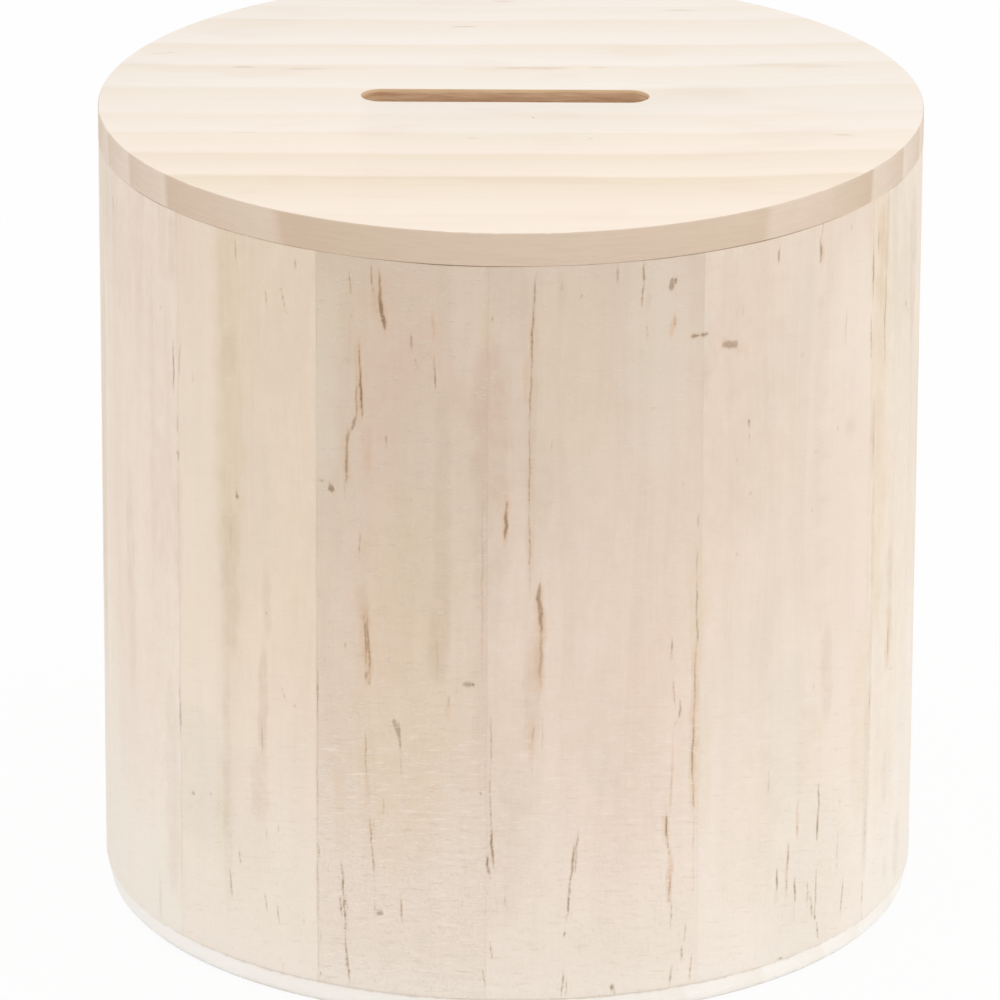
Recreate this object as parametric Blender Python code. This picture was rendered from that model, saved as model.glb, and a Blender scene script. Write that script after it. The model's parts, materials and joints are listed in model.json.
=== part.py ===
"""A round pine money box: a wall of glued staves on a thin base, and a lift-off lid with a coin slot.

Metres, +Z up. The origin is the middle of the underside. -Y is the front, +X is to the right.
"""

import math

import bmesh
import bpy

# Driving sizes
BOX_HEIGHT = 0.100
OUTSIDE_RADIUS = 0.050
STAVE_THICKNESS = 0.0075
BASE_THICKNESS = 0.0030
LID_THICKNESS = 0.0041
LOCATING_DISC_THICKNESS = 0.0040
SLOT_LENGTH = 0.0350
SLOT_WIDTH = 0.0050
SLOT_OFF_CENTRE_X = -0.0007
SLOT_OFF_CENTRE_Y = 0.0018

# Clearances
GLUE_LINE = 0.0001
LID_SHADOW_GAP = 0.0003
BORE_CLEARANCE = 0.0005
BASE_SET_IN = 0.0005

# Sanded edges
STAVE_EASE = 0.0003
LID_EASE = 0.0004
DISC_LEAD_IN = 0.0008
DISC_GLUED_EASE = 0.0002
BASE_TOP_EASE = 0.0002
BASE_FOOT_EASE = 0.0008

# How far a cutter runs past the faces that it cuts, and how near points are made one
CUT_OVERRUN = 0.0010
WELD_DISTANCE = 0.0000005

# Places of the glued joints round the wall, in degrees from the front towards the right.
# The first five show at the front, and the rest go on at about the same spacing.
JOINT_ANGLES = (-52.2, -27.0, -2.8, 27.2, 60.1, 88, 113, 141, 168, 196, 224, 253, 281)
FULL_TURN = 360
FRONT_ANGLE = -90

# Fineness, with angles in degrees
STAVE_FACET_ANGLE = 3
SMOOTH_BELOW_ANGLE = 12
DISC_SEGMENTS = 120
ARRIS_STEPS = 2
SLOT_END_STEPS = 8

# Colours, as linear red, green and blue
PINE_TONES = {
    "cream": (0.78, 0.64, 0.49),
    "honey": (0.76, 0.60, 0.42),
    "pink": (0.77, 0.61, 0.49),
    "grey": (0.72, 0.60, 0.46),
}
STAVE_TONES = (
    "honey", "grey", "pink", "pink", "cream", "honey", "grey",
    "cream", "pink", "honey", "cream", "grey", "cream",
)
LID_COLOUR = (0.90, 0.75, 0.55)
DISC_COLOUR = (0.82, 0.67, 0.49)
BASE_COLOUR = (0.84, 0.74, 0.62)
BARE_WOOD_ROUGHNESS = 0.65

# Sizes that follow from those above
BORE_RADIUS = OUTSIDE_RADIUS - STAVE_THICKNESS
DISC_RADIUS = BORE_RADIUS - BORE_CLEARANCE
BASE_RADIUS = OUTSIDE_RADIUS - BASE_SET_IN
WALL_FOOT = BASE_THICKNESS + GLUE_LINE
LID_UNDERSIDE = BOX_HEIGHT - LID_THICKNESS
WALL_HEIGHT = LID_UNDERSIDE - LID_SHADOW_GAP - WALL_FOOT
DISC_TOP = -GLUE_LINE


def clear_scene():
    for item in list(bpy.data.objects):
        bpy.data.objects.remove(item, do_unlink=True)


def new_collection(name):
    collection = bpy.data.collections.new(name)
    bpy.context.scene.collection.children.link(collection)
    return collection


def bare_wood(name, colour):
    material = bpy.data.materials.new(name)
    material.use_nodes = True
    shader = material.node_tree.nodes["Principled BSDF"]
    shader.inputs["Base Color"].default_value = (*colour, 1)
    shader.inputs["Roughness"].default_value = BARE_WOOD_ROUGHNESS
    shader.inputs["Metallic"].default_value = 0
    return material


def new_empty(name, height, collection):
    empty = bpy.data.objects.new(name, None)
    empty.location.z = height
    empty.empty_display_size = OUTSIDE_RADIUS
    collection.objects.link(empty)
    return empty


def finished_object(name, mesh_data, collection, parent=None, material=None):
    """An object that holds the bmesh, with its normals facing out and round faces shaded smooth."""
    bmesh.ops.recalc_face_normals(mesh_data, faces=mesh_data.faces)
    mesh = bpy.data.meshes.new(name)
    mesh_data.to_mesh(mesh)
    mesh_data.free()
    mesh.shade_smooth()
    mesh.set_sharp_from_angle(angle=math.radians(SMOOTH_BELOW_ANGLE))
    item = bpy.data.objects.new(name, mesh)
    item.parent = parent
    collection.objects.link(item)
    if material:
        mesh.materials.append(material)
    return item


def eased_section(inner, outer, height, ease):
    """Outline of a stave's cross-section in radius and height, with each corner sanded round."""
    corners = (
        (inner + ease, ease, math.pi),
        (outer - ease, ease, math.pi * 1.5),
        (outer - ease, height - ease, 0),
        (inner + ease, height - ease, math.pi / 2),
    )
    outline = []
    for radius, level, start in corners:
        for step in range(ARRIS_STEPS + 1):
            turn = start + math.pi / 2 * step / ARRIS_STEPS
            outline.append((radius + ease * math.cos(turn), level + ease * math.sin(turn)))
    return outline


def make_stave(number, start, end, wall, collection):
    """One stave: its section is spun about the box's axis, from one glued edge to the other."""
    glue_angle = math.degrees(GLUE_LINE / OUTSIDE_RADIUS)
    span = end - start - glue_angle
    stave = bmesh.new()
    section = eased_section(BORE_RADIUS, OUTSIDE_RADIUS, WALL_HEIGHT, STAVE_EASE)
    points = [stave.verts.new((radius, 0, level)) for radius, level in section]
    face = stave.faces.new(points)
    bmesh.ops.spin(
        stave,
        geom=[face, *face.edges, *face.verts],
        cent=(0, 0, 0),
        axis=(0, 0, 1),
        angle=math.radians(span),
        steps=math.ceil(span / STAVE_FACET_ANGLE),
    )
    name = f"stave_{number:02d}"
    material = bare_wood(f"{name}_pine", PINE_TONES[STAVE_TONES[number - 1]])
    item = finished_object(name, stave, collection, wall, material)
    item.rotation_euler.z = math.radians(FRONT_ANGLE + start + glue_angle / 2)
    return item


def make_wall(collection):
    wall = new_empty("wall_axis", WALL_FOOT, collection)
    ends = JOINT_ANGLES[1:] + (JOINT_ANGLES[0] + FULL_TURN,)
    for number, (start, end) in enumerate(zip(JOINT_ANGLES, ends), 1):
        make_stave(number, start, end, wall, collection)


def rim_edges(disc, level):
    """The edges of a flat face's outline, at this height."""
    return [
        edge
        for edge in disc.edges
        if all(abs(point.co.z - level) < WELD_DISTANCE for point in edge.verts)
    ]


def make_disc(radius, thickness, top_ease, foot_ease):
    """A turned disc from zero up to its thickness, with its two arrises sanded round."""
    disc = bmesh.new()
    bmesh.ops.create_cone(
        disc,
        cap_ends=True,
        segments=DISC_SEGMENTS,
        radius1=radius,
        radius2=radius,
        depth=thickness,
    )
    bmesh.ops.translate(disc, verts=disc.verts, vec=(0, 0, thickness / 2))
    for level, ease in ((thickness, top_ease), (0, foot_ease)):
        bmesh.ops.bevel(
            disc,
            geom=rim_edges(disc, level),
            offset=ease,
            offset_type="OFFSET",
            segments=ARRIS_STEPS,
            profile=0.5,
            affect="EDGES",
        )
    return disc


def make_base(collection):
    disc = make_disc(BASE_RADIUS, BASE_THICKNESS, BASE_TOP_EASE, BASE_FOOT_EASE)
    return finished_object("base_disc", disc, collection, None, bare_wood("base_pine", BASE_COLOUR))


def slot_outline():
    """The routed slot seen from above: two straight sides and two half-round ends."""
    half_width = SLOT_WIDTH / 2
    reach = SLOT_LENGTH / 2 - half_width
    outline = []
    for end_x, start in ((reach, -math.pi / 2), (-reach, math.pi / 2)):
        for step in range(SLOT_END_STEPS + 1):
            turn = start + math.pi * step / SLOT_END_STEPS
            outline.append((end_x + half_width * math.cos(turn), half_width * math.sin(turn)))
    return outline


def slot_curve(depth):
    """The slot's outline as a filled 2D curve, extruded to this depth about its middle."""
    outline = slot_outline()
    curve = bpy.data.curves.new("slot_outline", "CURVE")
    curve.dimensions = "2D"
    curve.fill_mode = "BOTH"
    curve.extrude = depth / 2
    spline = curve.splines.new("POLY")
    spline.points.add(len(outline) - 1)
    for point, (x, y) in zip(spline.points, outline):
        point.co = (x, y, 0, 1)
    spline.use_cyclic_u = True
    return curve


def closed_mesh_of(curve, collection):
    """The curve as a bmesh, its caps welded to its sides."""
    guide = bpy.data.objects.new("slot_guide", curve)
    collection.objects.link(guide)
    bpy.context.view_layer.update()
    evaluated = guide.evaluated_get(bpy.context.evaluated_depsgraph_get())
    loose = bpy.data.meshes.new_from_object(evaluated)
    block = bmesh.new()
    block.from_mesh(loose)
    bmesh.ops.remove_doubles(block, verts=block.verts, dist=WELD_DISTANCE)
    bpy.data.objects.remove(guide)
    bpy.data.meshes.remove(loose)
    return block


def make_slot_cutter(lid, collection):
    """A closed block of the slot's outline, through the lid board and the disc under it."""
    foot = DISC_TOP - LOCATING_DISC_THICKNESS - CUT_OVERRUN
    top = LID_THICKNESS + CUT_OVERRUN
    block = closed_mesh_of(slot_curve(top - foot), collection)
    cutter = finished_object("slot_cutter", block, collection, lid)
    cutter.location = (SLOT_OFF_CENTRE_X, SLOT_OFF_CENTRE_Y, (top + foot) / 2)
    cutter.hide_render = True
    cutter.display_type = "WIRE"
    return cutter


def cut_slot(item, cutter):
    cut = item.modifiers.new("coin_slot", "BOOLEAN")
    cut.operation = "DIFFERENCE"
    cut.solver = "EXACT"
    cut.object = cutter


def make_lid(collection, cutters):
    """The board and the disc glued under it, both on the axis along which the lid lifts."""
    lid = new_empty("lid_lift_axis", LID_UNDERSIDE, collection)
    cutter = make_slot_cutter(lid, cutters)

    board = make_disc(OUTSIDE_RADIUS, LID_THICKNESS, LID_EASE, LID_EASE)
    board = finished_object("lid_board", board, collection, lid, bare_wood("lid_pine", LID_COLOUR))
    cut_slot(board, cutter)

    disc = make_disc(DISC_RADIUS, LOCATING_DISC_THICKNESS, DISC_GLUED_EASE, DISC_LEAD_IN)
    material = bare_wood("disc_pine", DISC_COLOUR)
    disc = finished_object("lid_locating_disc", disc, collection, lid, material)
    disc.location.z = DISC_TOP - LOCATING_DISC_THICKNESS
    cut_slot(disc, cutter)


def main():
    clear_scene()
    money_box = new_collection("money_box")
    cutters = new_collection("cutters")
    make_base(money_box)
    make_wall(money_box)
    make_lid(money_box, cutters)


main()
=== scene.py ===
"""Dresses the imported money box: turned pine staves, a thin base, the lid with its coin slot, a pale studio.

Metres, +Z up. The origin is the middle of the underside, -Y is the front and +X is to the right.
Patterns are laid out in millimetres. A mark on the wall has an angle, in degrees from the front towards
the right, and a height above the floor.
"""

import json
import math
import random

import bmesh
import bpy
import numpy as np
from mathutils import Matrix, Vector


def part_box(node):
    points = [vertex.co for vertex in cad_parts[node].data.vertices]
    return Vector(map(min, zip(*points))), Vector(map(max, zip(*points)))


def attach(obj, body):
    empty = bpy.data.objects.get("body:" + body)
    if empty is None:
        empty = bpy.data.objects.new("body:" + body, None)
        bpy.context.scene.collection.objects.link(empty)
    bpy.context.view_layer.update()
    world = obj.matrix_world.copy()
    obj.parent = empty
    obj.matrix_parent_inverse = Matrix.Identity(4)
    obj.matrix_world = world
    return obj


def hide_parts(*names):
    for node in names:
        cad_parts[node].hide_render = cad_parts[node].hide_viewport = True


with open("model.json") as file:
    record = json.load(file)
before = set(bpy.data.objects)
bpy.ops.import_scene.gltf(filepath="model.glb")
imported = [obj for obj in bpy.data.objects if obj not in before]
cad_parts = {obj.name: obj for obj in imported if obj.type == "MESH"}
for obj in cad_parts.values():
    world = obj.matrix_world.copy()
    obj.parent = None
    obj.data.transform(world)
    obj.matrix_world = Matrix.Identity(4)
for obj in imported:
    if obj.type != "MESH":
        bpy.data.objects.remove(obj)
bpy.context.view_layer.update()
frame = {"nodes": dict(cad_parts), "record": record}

bl_info = {
    "name": "Pine Money Box",
    "version": (1, 0, 0),
    "blender": (4, 5, 0),
    "location": "3D View > Sidebar > Money Box",
    "description": "Models and finishes a round pine money box on its packed frame",
    "category": "Mesh",
}

MM_PER_METRE = 1000

# Sizes from the frame
LID_LOW, LID_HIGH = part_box("lid_board")
DISC_LOW, DISC_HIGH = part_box("lid_locating_disc")
BASE_LOW, BASE_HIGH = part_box("base_disc")
WALL_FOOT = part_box("stave_01")[0].z
OUTSIDE_RADIUS = LID_HIGH.x
OUTSIDE_MM = OUTSIDE_RADIUS * MM_PER_METRE
LID_TOP_MM = LID_HIGH.z * MM_PER_METRE
SLOTS = {part["node"]: part["material_slot"] for part in frame["record"]["subparts"]}
STAVES = sorted(node for node in frame["nodes"] if node.startswith("stave_"))

# Fineness of the meshes
ARRIS_SEGMENTS = 3
SLOT_ARRIS_SEGMENTS = 2
SLOT_END_SEGMENTS = 16
FLOOR_CORNER_SEGMENTS = 12
DISC_SIDES = 360
INNER_FACE_STEPS = 24
SMOOTH_ANGLE = math.radians(30)

# The wall's mesh is this much coarser upwards than across
UPRIGHT_STEP_SHARE = 2.6

# Which staves the photograph shows, and which have the finest mesh, by the angle of their middle in degrees
PHOTOGRAPHED_FROM = -70
PHOTOGRAPHED_TO = 80
FINE_FROM = -45
FINE_TO = 50

# A face of a stave with more corners than this is one of its two flat ends
MOST_SKIN_CORNERS = 4 * ARRIS_SEGMENTS

# A face is upright if its normal's upward part is less than this. The slot lies nearer the axis than this.
UPRIGHT_BELOW = 0.5
NEAR_AXIS = OUTSIDE_RADIUS / 2

# The rim's wear starts this many arrises below the top. The clouds' sizes are in metres.
RIM_SHARE = 1.5
RIM_WEAR_SIZE = 0.014
RIM_WEAR_CONTRAST = 2.2
HOLLOW_SIZE = 0.011

# In metres: points nearer than this are made one, points this near a radius are on it, points this near
# the outside belong to its skin, and a cutter runs this far past the faces that it cuts
WELD = 0.000001
ON_RADIUS = 0.00001
SKIN_DEPTH = 0.00005
CUT_OVERRUN = 0.002

# How dark each glued joint of the wall looks, from stave_01's left edge round to the right
JOINT_DARKNESS = (0.3, 0.3, 0.1, 0.1, 0.2, 0.4, 0.3, 0.5, 0.35, 0.45, 0.3, 0.4, 0.35)

# How strong the sanding scratches of each stave are
STAVE_SANDING = (0.8, 1.5, 1.1, 0.9, 0.8, 0.8, 1.1, 0.9, 1.2, 0.8, 1.0, 0.9, 0.5)

# Soft marks: how far each kind spreads past its width and how far its line wavers, as shares of its width,
# and how far the wood takes the mark's colour
SOFT_MARKS = {
    "amber": (0.55, 0.25, 0.34),
    "stain": (0.9, 0.2, 0.26),
    "honey": (0.85, 0.15, 0.26),
    "blush": (0.9, 0.15, 0.17),
    "sage": (0.9, 0.15, 0.28),
    "pale": (0.9, 0.15, 0.5),
}

# How evenly a soft mark keeps its strength along its line: short ones are round, long ones are bands
SHORT_MARK = 5.0
SHORT_MARK_POWER = 2
LONG_MARK_POWER = 4

# Dark streaks: how far the line wavers, the half of the width that is dark, how it tapers to its ends and
# how far it fades there, as shares. A streak at least this wide, in mm, is pitted too.
STREAK_WAVER = 0.3
STREAK_HALF = 0.4
STREAK_TAPER = 3
STREAK_FADE = 0.55
PITTED_WIDTH = 0.45

# A streak's edge is painted as a slope this wide, in mm, so that the material can cut it crisp
EDGE_SLOPE = 0.6

# The waves in a mark's line: their share, how fast they go along it, and how far each mark has its own
MARK_WAVES = ((0.6, 0.9, 1), (0.4, 2.3, 2))

# A mark is painted on a stave if its middle is no farther from the stave than this, in degrees
MARK_OVER_JOINT = 1.5

# Marks in the wall: kind, where its line starts and ends, its width in mm, and its strength
WALL_MARKS = (
    # Left of the front, on the first stave: its soft darker band, and short streaks
    ("pale", (-48.0, 104.0), (-48.0, 0.0), 5.4, 0.6),
    ("pale", (-34.0, 50.0), (-34.0, -10.0), 8.0, 0.18),
    ("honey", (-41.6, 100.0), (-41.9, 52.0), 3.6, 0.6),
    ("sage", (-43.2, 97.0), (-43.2, 50.0), 1.0, 0.6),
    ("stain", (-41.5, 62.0), (-41.6, 42.0), 1.8, 0.6),
    ("stain", (-42.5, 46.0), (-42.3, 8.0), 0.9, 0.4),
    ("resin", (-40.4, 95.4), (-39.9, 92.0), 0.4, 0.5),
    ("resin", (-42.9, 92.0), (-42.8, 91.2), 0.5, 0.3),
    ("blush", (-43.2, 82.0), (-43.2, 76.5), 1.8, 0.5),
    ("stain", (-41.6, 83.0), (-41.4, 78.5), 1.6, 0.4),
    ("resin", (-40.1, 72.6), (-39.8, 72.1), 0.4, 0.35),
    ("resin", (-40.6, 64.8), (-40.3, 63.4), 0.3, 0.4),
    ("resin", (-40.3, 63.0), (-40.0, 62.8), 0.5, 0.9),
    ("resin", (-35.3, 90.4), (-34.7, 87.4), 0.35, 0.6),
    ("resin", (-32.6, 90.8), (-31.8, 87.6), 0.35, 0.75),
    ("resin", (-31.9, 88.0), (-31.0, 86.7), 0.25, 0.5),
    ("resin", (-30.2, 94.6), (-30.1, 93.0), 0.5, 0.35),
    ("resin", (-41.3, 59.5), (-41.5, 56.0), 0.3, 0.3),
    ("stain", (-35.2, 56.0), (-34.9, 46.0), 0.8, 0.5),
    ("resin", (-35.3, 49.2), (-35.1, 48.8), 0.4, 0.4),
    ("stain", (-35.6, 44.5), (-36.0, 30.0), 0.9, 0.8),
    ("resin", (-36.0, 35.0), (-36.0, 30.5), 0.4, 0.4),
    ("stain", (-36.3, 31.0), (-36.6, 22.5), 1.7, 0.6),
    ("resin", (-32.6, 40.4), (-32.0, 38.2), 0.35, 0.6),
    ("resin", (-30.8, 38.0), (-30.0, 38.4), 0.3, 0.35),
    ("resin", (-33.3, 22.4), (-33.2, 21.0), 0.35, 0.45),
    ("resin", (-35.4, 21.6), (-35.3, 19.8), 0.3, 0.4),
    ("resin", (-40.2, 17.5), (-40.0, 15.5), 0.4, 0.65),
    ("resin", (-42.0, 14.8), (-41.6, 10.6), 0.4, 0.65),
    ("resin", (-35.6, 13.0), (-35.2, 10.4), 0.35, 0.7),
    ("resin", (-33.5, 11.9), (-33.1, 9.3), 0.35, 0.7),
    ("resin", (-29.3, 11.4), (-28.9, 9.8), 0.3, 0.4),
    ("resin", (-32.7, 4.4), (-32.6, 3.3), 0.3, 0.4),
    ("resin", (-49.9, 22.1), (-48.5, 22.9), 0.5, 0.6),
    ("resin", (-46.1, 23.2), (-45.4, 23.5), 0.4, 0.35),
    ("resin", (-44.2, 22.6), (-42.9, 22.9), 0.45, 0.75),
    ("sage", (-48.0, 31.0), (-47.5, 19.0), 7.0, 0.7),
    ("honey", (-43.6, 28.0), (-43.5, 16.0), 1.6, 0.45),
    ("blush", (-39.0, 30.0), (-38.6, 16.0), 5.0, 0.5),
    # The joint between the first two staves, where a dark hair comes and goes
    ("resin", (-26.9, 44.0), (-26.9, 36.0), 0.3, 0.6),
    ("resin", (-27.0, 40.8), (-26.9, 39.8), 0.4, 0.7),
    ("resin", (-27.0, 34.0), (-27.0, 21.5), 0.25, 0.45),
    ("resin", (-27.0, 21.2), (-26.6, 19.0), 0.35, 0.75),
    ("resin", (-27.0, 19.0), (-27.0, 15.2), 0.25, 0.55),
    ("resin", (-26.9, 14.8), (-26.9, 10.9), 0.25, 0.55),
    ("resin", (-26.5, 9.8), (-26.5, 7.9), 0.25, 0.5),
    ("resin", (-26.7, 4.5), (-26.6, 3.9), 0.4, 0.75),
    # Far left, where the wall turns away. The wide pale bands here are painted light on the turning wall
    ("blush", (-63.0, 106.0), (-63.0, 20.0), 15.0, 1.0),
    ("pale", (-86.0, 106.0), (-86.0, -6.0), 12.0, 1.0),
    ("stain", (-53.4, 95.5), (-53.3, 87.0), 0.8, 0.5),
    ("resin", (-53.2, 80.2), (-53.2, 72.3), 0.5, 0.6),
    ("resin", (-51.5, 80.0), (-51.9, 74.8), 0.4, 0.4),
    ("resin", (-52.3, 70.4), (-52.3, 67.8), 0.5, 0.4),
    ("resin", (-52.3, 65.8), (-52.2, 64.6), 0.6, 0.4),
    ("stain", (-52.3, 64.0), (-52.3, 46.0), 1.2, 0.35),
    ("resin", (-48.8, 76.4), (-48.7, 75.6), 0.5, 0.35),
    ("resin", (-52.4, 36.5), (-52.2, 29.5), 0.6, 0.4),
    ("stain", (-54.2, 36.0), (-54.2, 8.0), 1.8, 0.4),
    ("blush", (-54.0, 24.0), (-53.5, 8.0), 3.4, 0.6),
    ("blush", (-57.5, 84.0), (-56.5, 56.0), 6.0, 0.25),
    ("pale", (-66.0, 80.0), (-66.0, 0.0), 7.0, 0.6),
    ("pale", (-76.0, 84.0), (-76.0, 10.0), 7.0, 0.5),
    ("stain", (-57.9, 9.0), (-57.7, 3.6), 0.5, 0.5),
    ("resin", (-56.4, 83.0), (-56.0, 82.6), 0.4, 0.3),
    ("resin", (-72.6, 92.6), (-72.4, 90.4), 0.6, 0.4),
    ("stain", (-66.5, 60.0), (-66.0, 30.0), 1.6, 0.4),
    # The second stave: the darkest wood, with the long streaks
    ("blush", (-16.5, 92.0), (-16.0, 68.0), 8.0, 0.85),
    ("blush", (-19.5, 62.0), (-18.2, 42.0), 4.5, 0.6),
    ("pale", (-25.6, 93.0), (-25.6, 68.0), 2.6, 0.32),
    ("stain", (-16.5, 92.0), (-16.5, 46.0), 9.0, 0.24),
    ("sage", (-24.6, 94.0), (-24.4, 60.0), 4.0, 0.45),
    ("honey", (-24.0, 93.0), (-23.0, 84.0), 4.0, 0.42),
    ("honey", (-13.0, 66.0), (-15.5, 20.0), 8.0, 0.7),
    ("sage", (-11.5, 80.0), (-12.5, 54.0), 4.5, 0.55),
    ("blush", (-21.5, 46.0), (-21.0, 30.0), 6.0, 0.4),
    ("resin", (-22.0, 94.2), (-21.7, 90.8), 0.3, 0.8),
    ("resin", (-19.0, 95.6), (-18.4, 90.8), 0.35, 0.85),
    ("amber", (-18.5, 92.5), (-18.3, 88.6), 0.9, 0.55),
    ("resin", (-18.3, 90.2), (-18.2, 89.2), 0.35, 0.5),
    ("resin", (-17.7, 95.0), (-17.6, 90.0), 0.45, 0.8),
    ("resin", (-17.7, 91.5), (-17.2, 88.0), 0.75, 0.95),
    ("resin", (-17.3, 89.6), (-16.9, 87.5), 0.8, 1.0),
    ("amber", (-17.8, 94.0), (-17.0, 87.6), 1.5, 0.5),
    ("resin", (-21.7, 88.4), (-21.5, 88.0), 0.45, 0.4),
    ("stain", (-22.0, 87.5), (-22.0, 82.0), 0.4, 0.5),
    ("amber", (-20.8, 86.0), (-20.6, 75.0), 1.0, 0.7),
    ("resin", (-20.6, 86.0), (-20.5, 80.5), 0.4, 0.7),
    ("resin", (-20.4, 82.5), (-20.2, 75.6), 0.5, 1.0),
    ("resin", (-21.0, 81.0), (-20.9, 75.4), 0.35, 0.65),
    ("resin", (-20.9, 76.2), (-21.5, 74.9), 0.6, 0.66),
    ("resin", (-21.4, 75.3), (-22.2, 73.6), 0.6, 0.66),
    ("resin", (-22.3, 74.6), (-22.6, 70.6), 0.45, 0.64),
    ("resin", (-22.4, 72.5), (-22.6, 67.4), 0.55, 0.68),
    ("amber", (-22.4, 74.0), (-22.5, 67.4), 1.2, 0.5),
    ("resin", (-22.7, 68.0), (-22.7, 65.2), 0.25, 0.4),
    ("resin", (-24.9, 67.0), (-24.0, 66.0), 1.0, 0.85),
    ("blush", (-24.0, 66.9), (-23.4, 66.8), 1.6, 0.8),
    ("resin", (-27.0, 67.5), (-25.1, 67.0), 0.3, 0.7),
    ("resin", (-24.2, 63.9), (-23.6, 63.7), 0.3, 0.3),
    ("resin", (-23.6, 60.5), (-23.3, 60.2), 0.5, 0.9),
    ("stain", (-19.3, 75.2), (-19.4, 69.4), 1.2, 0.5),
    ("amber", (-19.2, 72.8), (-19.2, 69.8), 0.8, 0.4),
    ("resin", (-20.5, 62.5), (-20.6, 57.8), 0.3, 0.6),
    ("stain", (-20.5, 55.0), (-20.0, 50.5), 1.1, 0.7),
    ("resin", (-19.9, 52.0), (-19.6, 44.5), 0.4, 0.78),
    ("resin", (-19.5, 52.0), (-19.1, 43.0), 0.45, 0.7),
    ("amber", (-19.8, 52.0), (-19.3, 42.8), 1.3, 0.75),
    ("resin", (-19.5, 43.6), (-19.2, 42.8), 0.8, 0.5),
    ("resin", (-22.7, 47.2), (-22.5, 46.8), 0.4, 0.8),
    ("resin", (-22.8, 46.2), (-22.7, 45.8), 0.3, 0.4),
    ("resin", (-16.8, 74.6), (-16.8, 72.6), 0.35, 0.55),
    ("stain", (-17.1, 85.0), (-17.1, 77.5), 0.9, 0.4),
    ("resin", (-13.3, 87.6), (-13.2, 84.8), 0.45, 0.5),
    ("resin", (-12.4, 84.3), (-12.8, 83.2), 0.25, 0.65),
    ("resin", (-12.8, 83.3), (-12.0, 82.8), 0.25, 0.65),
    ("resin", (-11.2, 84.8), (-10.2, 84.5), 0.2, 0.45),
    ("amber", (-10.4, 90.2), (-10.2, 86.2), 0.6, 0.6),
    ("resin", (-10.5, 90.0), (-10.1, 86.5), 0.3, 0.45),
    ("resin", (-10.1, 84.8), (-9.9, 79.8), 0.35, 0.85),
    ("resin", (-9.5, 84.4), (-9.4, 83.0), 0.25, 0.4),
    ("stain", (-9.0, 82.0), (-9.0, 44.0), 1.4, 0.6),
    ("stain", (-9.6, 52.5), (-9.6, 44.0), 1.6, 0.8),
    ("resin", (-9.8, 49.8), (-9.5, 44.2), 0.4, 0.22),
    ("blush", (-11.2, 54.0), (-11.0, 49.0), 2.2, 0.7),
    ("resin", (-15.0, 66.2), (-14.8, 65.8), 0.35, 0.35),
    ("resin", (-15.0, 63.2), (-14.6, 62.9), 0.35, 0.4),
    ("resin", (-13.3, 66.5), (-12.8, 66.2), 0.35, 0.35),
    ("resin", (-10.0, 57.2), (-9.6, 56.9), 0.35, 0.35),
    ("resin", (-5.9, 43.4), (-4.9, 43.3), 0.7, 0.6),
    ("resin", (-4.8, 43.5), (-4.2, 42.9), 0.7, 0.9),
    ("resin", (-7.2, 42.8), (-6.7, 42.5), 0.3, 0.4),
    ("resin", (-7.9, 41.9), (-8.1, 40.8), 0.4, 0.6),
    ("amber", (-8.0, 41.0), (-8.0, 38.8), 0.9, 0.6),
    ("resin", (-19.8, 37.2), (-19.6, 29.8), 0.3, 0.7),
    ("stain", (-19.6, 31.0), (-19.4, 26.0), 0.4, 0.5),
    ("resin", (-15.7, 38.3), (-15.2, 36.5), 1.0, 0.6),
    ("resin", (-14.9, 38.2), (-14.8, 34.2), 0.4, 0.75),
    ("resin", (-14.7, 34.2), (-14.6, 31.0), 0.25, 0.45),
    ("resin", (-12.4, 36.7), (-12.1, 36.4), 0.45, 0.8),
    ("resin", (-10.9, 29.4), (-10.3, 29.2), 0.5, 0.7),
    ("resin", (-17.2, 28.2), (-17.1, 25.8), 0.35, 0.35),
    ("resin", (-19.2, 25.8), (-18.9, 21.5), 0.35, 0.85),
    ("resin", (-18.9, 22.6), (-18.5, 17.7), 0.35, 0.9),
    ("resin", (-18.6, 25.6), (-18.4, 22.6), 0.25, 0.55),
    ("resin", (-18.4, 17.0), (-18.4, 12.0), 0.25, 0.25),
    ("resin", (-17.9, 13.6), (-17.4, 13.4), 0.8, 0.85),
    ("resin", (-14.8, 16.4), (-14.4, 12.1), 0.35, 0.8),
    ("resin", (-23.4, 19.6), (-23.0, 14.8), 0.4, 1.0),
    ("resin", (-23.1, 16.5), (-22.7, 9.0), 0.4, 1.0),
    ("resin", (-22.8, 10.0), (-22.2, 3.2), 0.42, 1.0),
    ("resin", (-23.5, 14.9), (-23.4, 12.0), 0.4, 0.8),
    ("resin", (-22.6, 15.2), (-22.4, 12.8), 0.3, 0.65),
    ("honey", (-23.5, 34.0), (-23.3, 20.0), 1.4, 0.4),
    # The joint at the middle of the front, and what lies beside it
    ("stain", (-1.0, 104.0), (-1.0, 60.0), 4.0, 0.36),
    ("pale", (-5.6, 100.0), (-5.6, 82.0), 2.6, 0.22),
    ("honey", (-3.2, 92.0), (-3.1, 86.0), 1.2, 0.5),
    ("stain", (-2.3, 86.0), (-2.4, 64.0), 3.0, 0.95),
    ("blush", (-2.3, 86.0), (-2.3, 74.0), 2.4, 0.6),
    ("stain", (-2.4, 72.0), (-2.4, 52.0), 2.6, 0.6),
    ("resin", (-3.5, 70.0), (-3.5, 44.0), 0.35, 0.3),
    ("resin", (-2.2, 90.0), (-2.2, 89.0), 0.4, 0.6),
    ("stain", (-2.6, 52.0), (-2.6, 30.0), 2.2, 0.45),
    ("stain", (-1.0, 44.0), (-1.0, 14.0), 4.4, 0.46),
    ("resin", (-2.2, 40.4), (-2.3, 32.0), 0.3, 0.6),
    ("resin", (-2.4, 33.0), (-2.2, 24.0), 0.3, 0.7),
    ("resin", (-2.2, 25.6), (-1.8, 20.0), 0.45, 1.0),
    ("resin", (-2.7, 22.0), (-2.5, 19.5), 0.45, 1.0),
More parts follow.
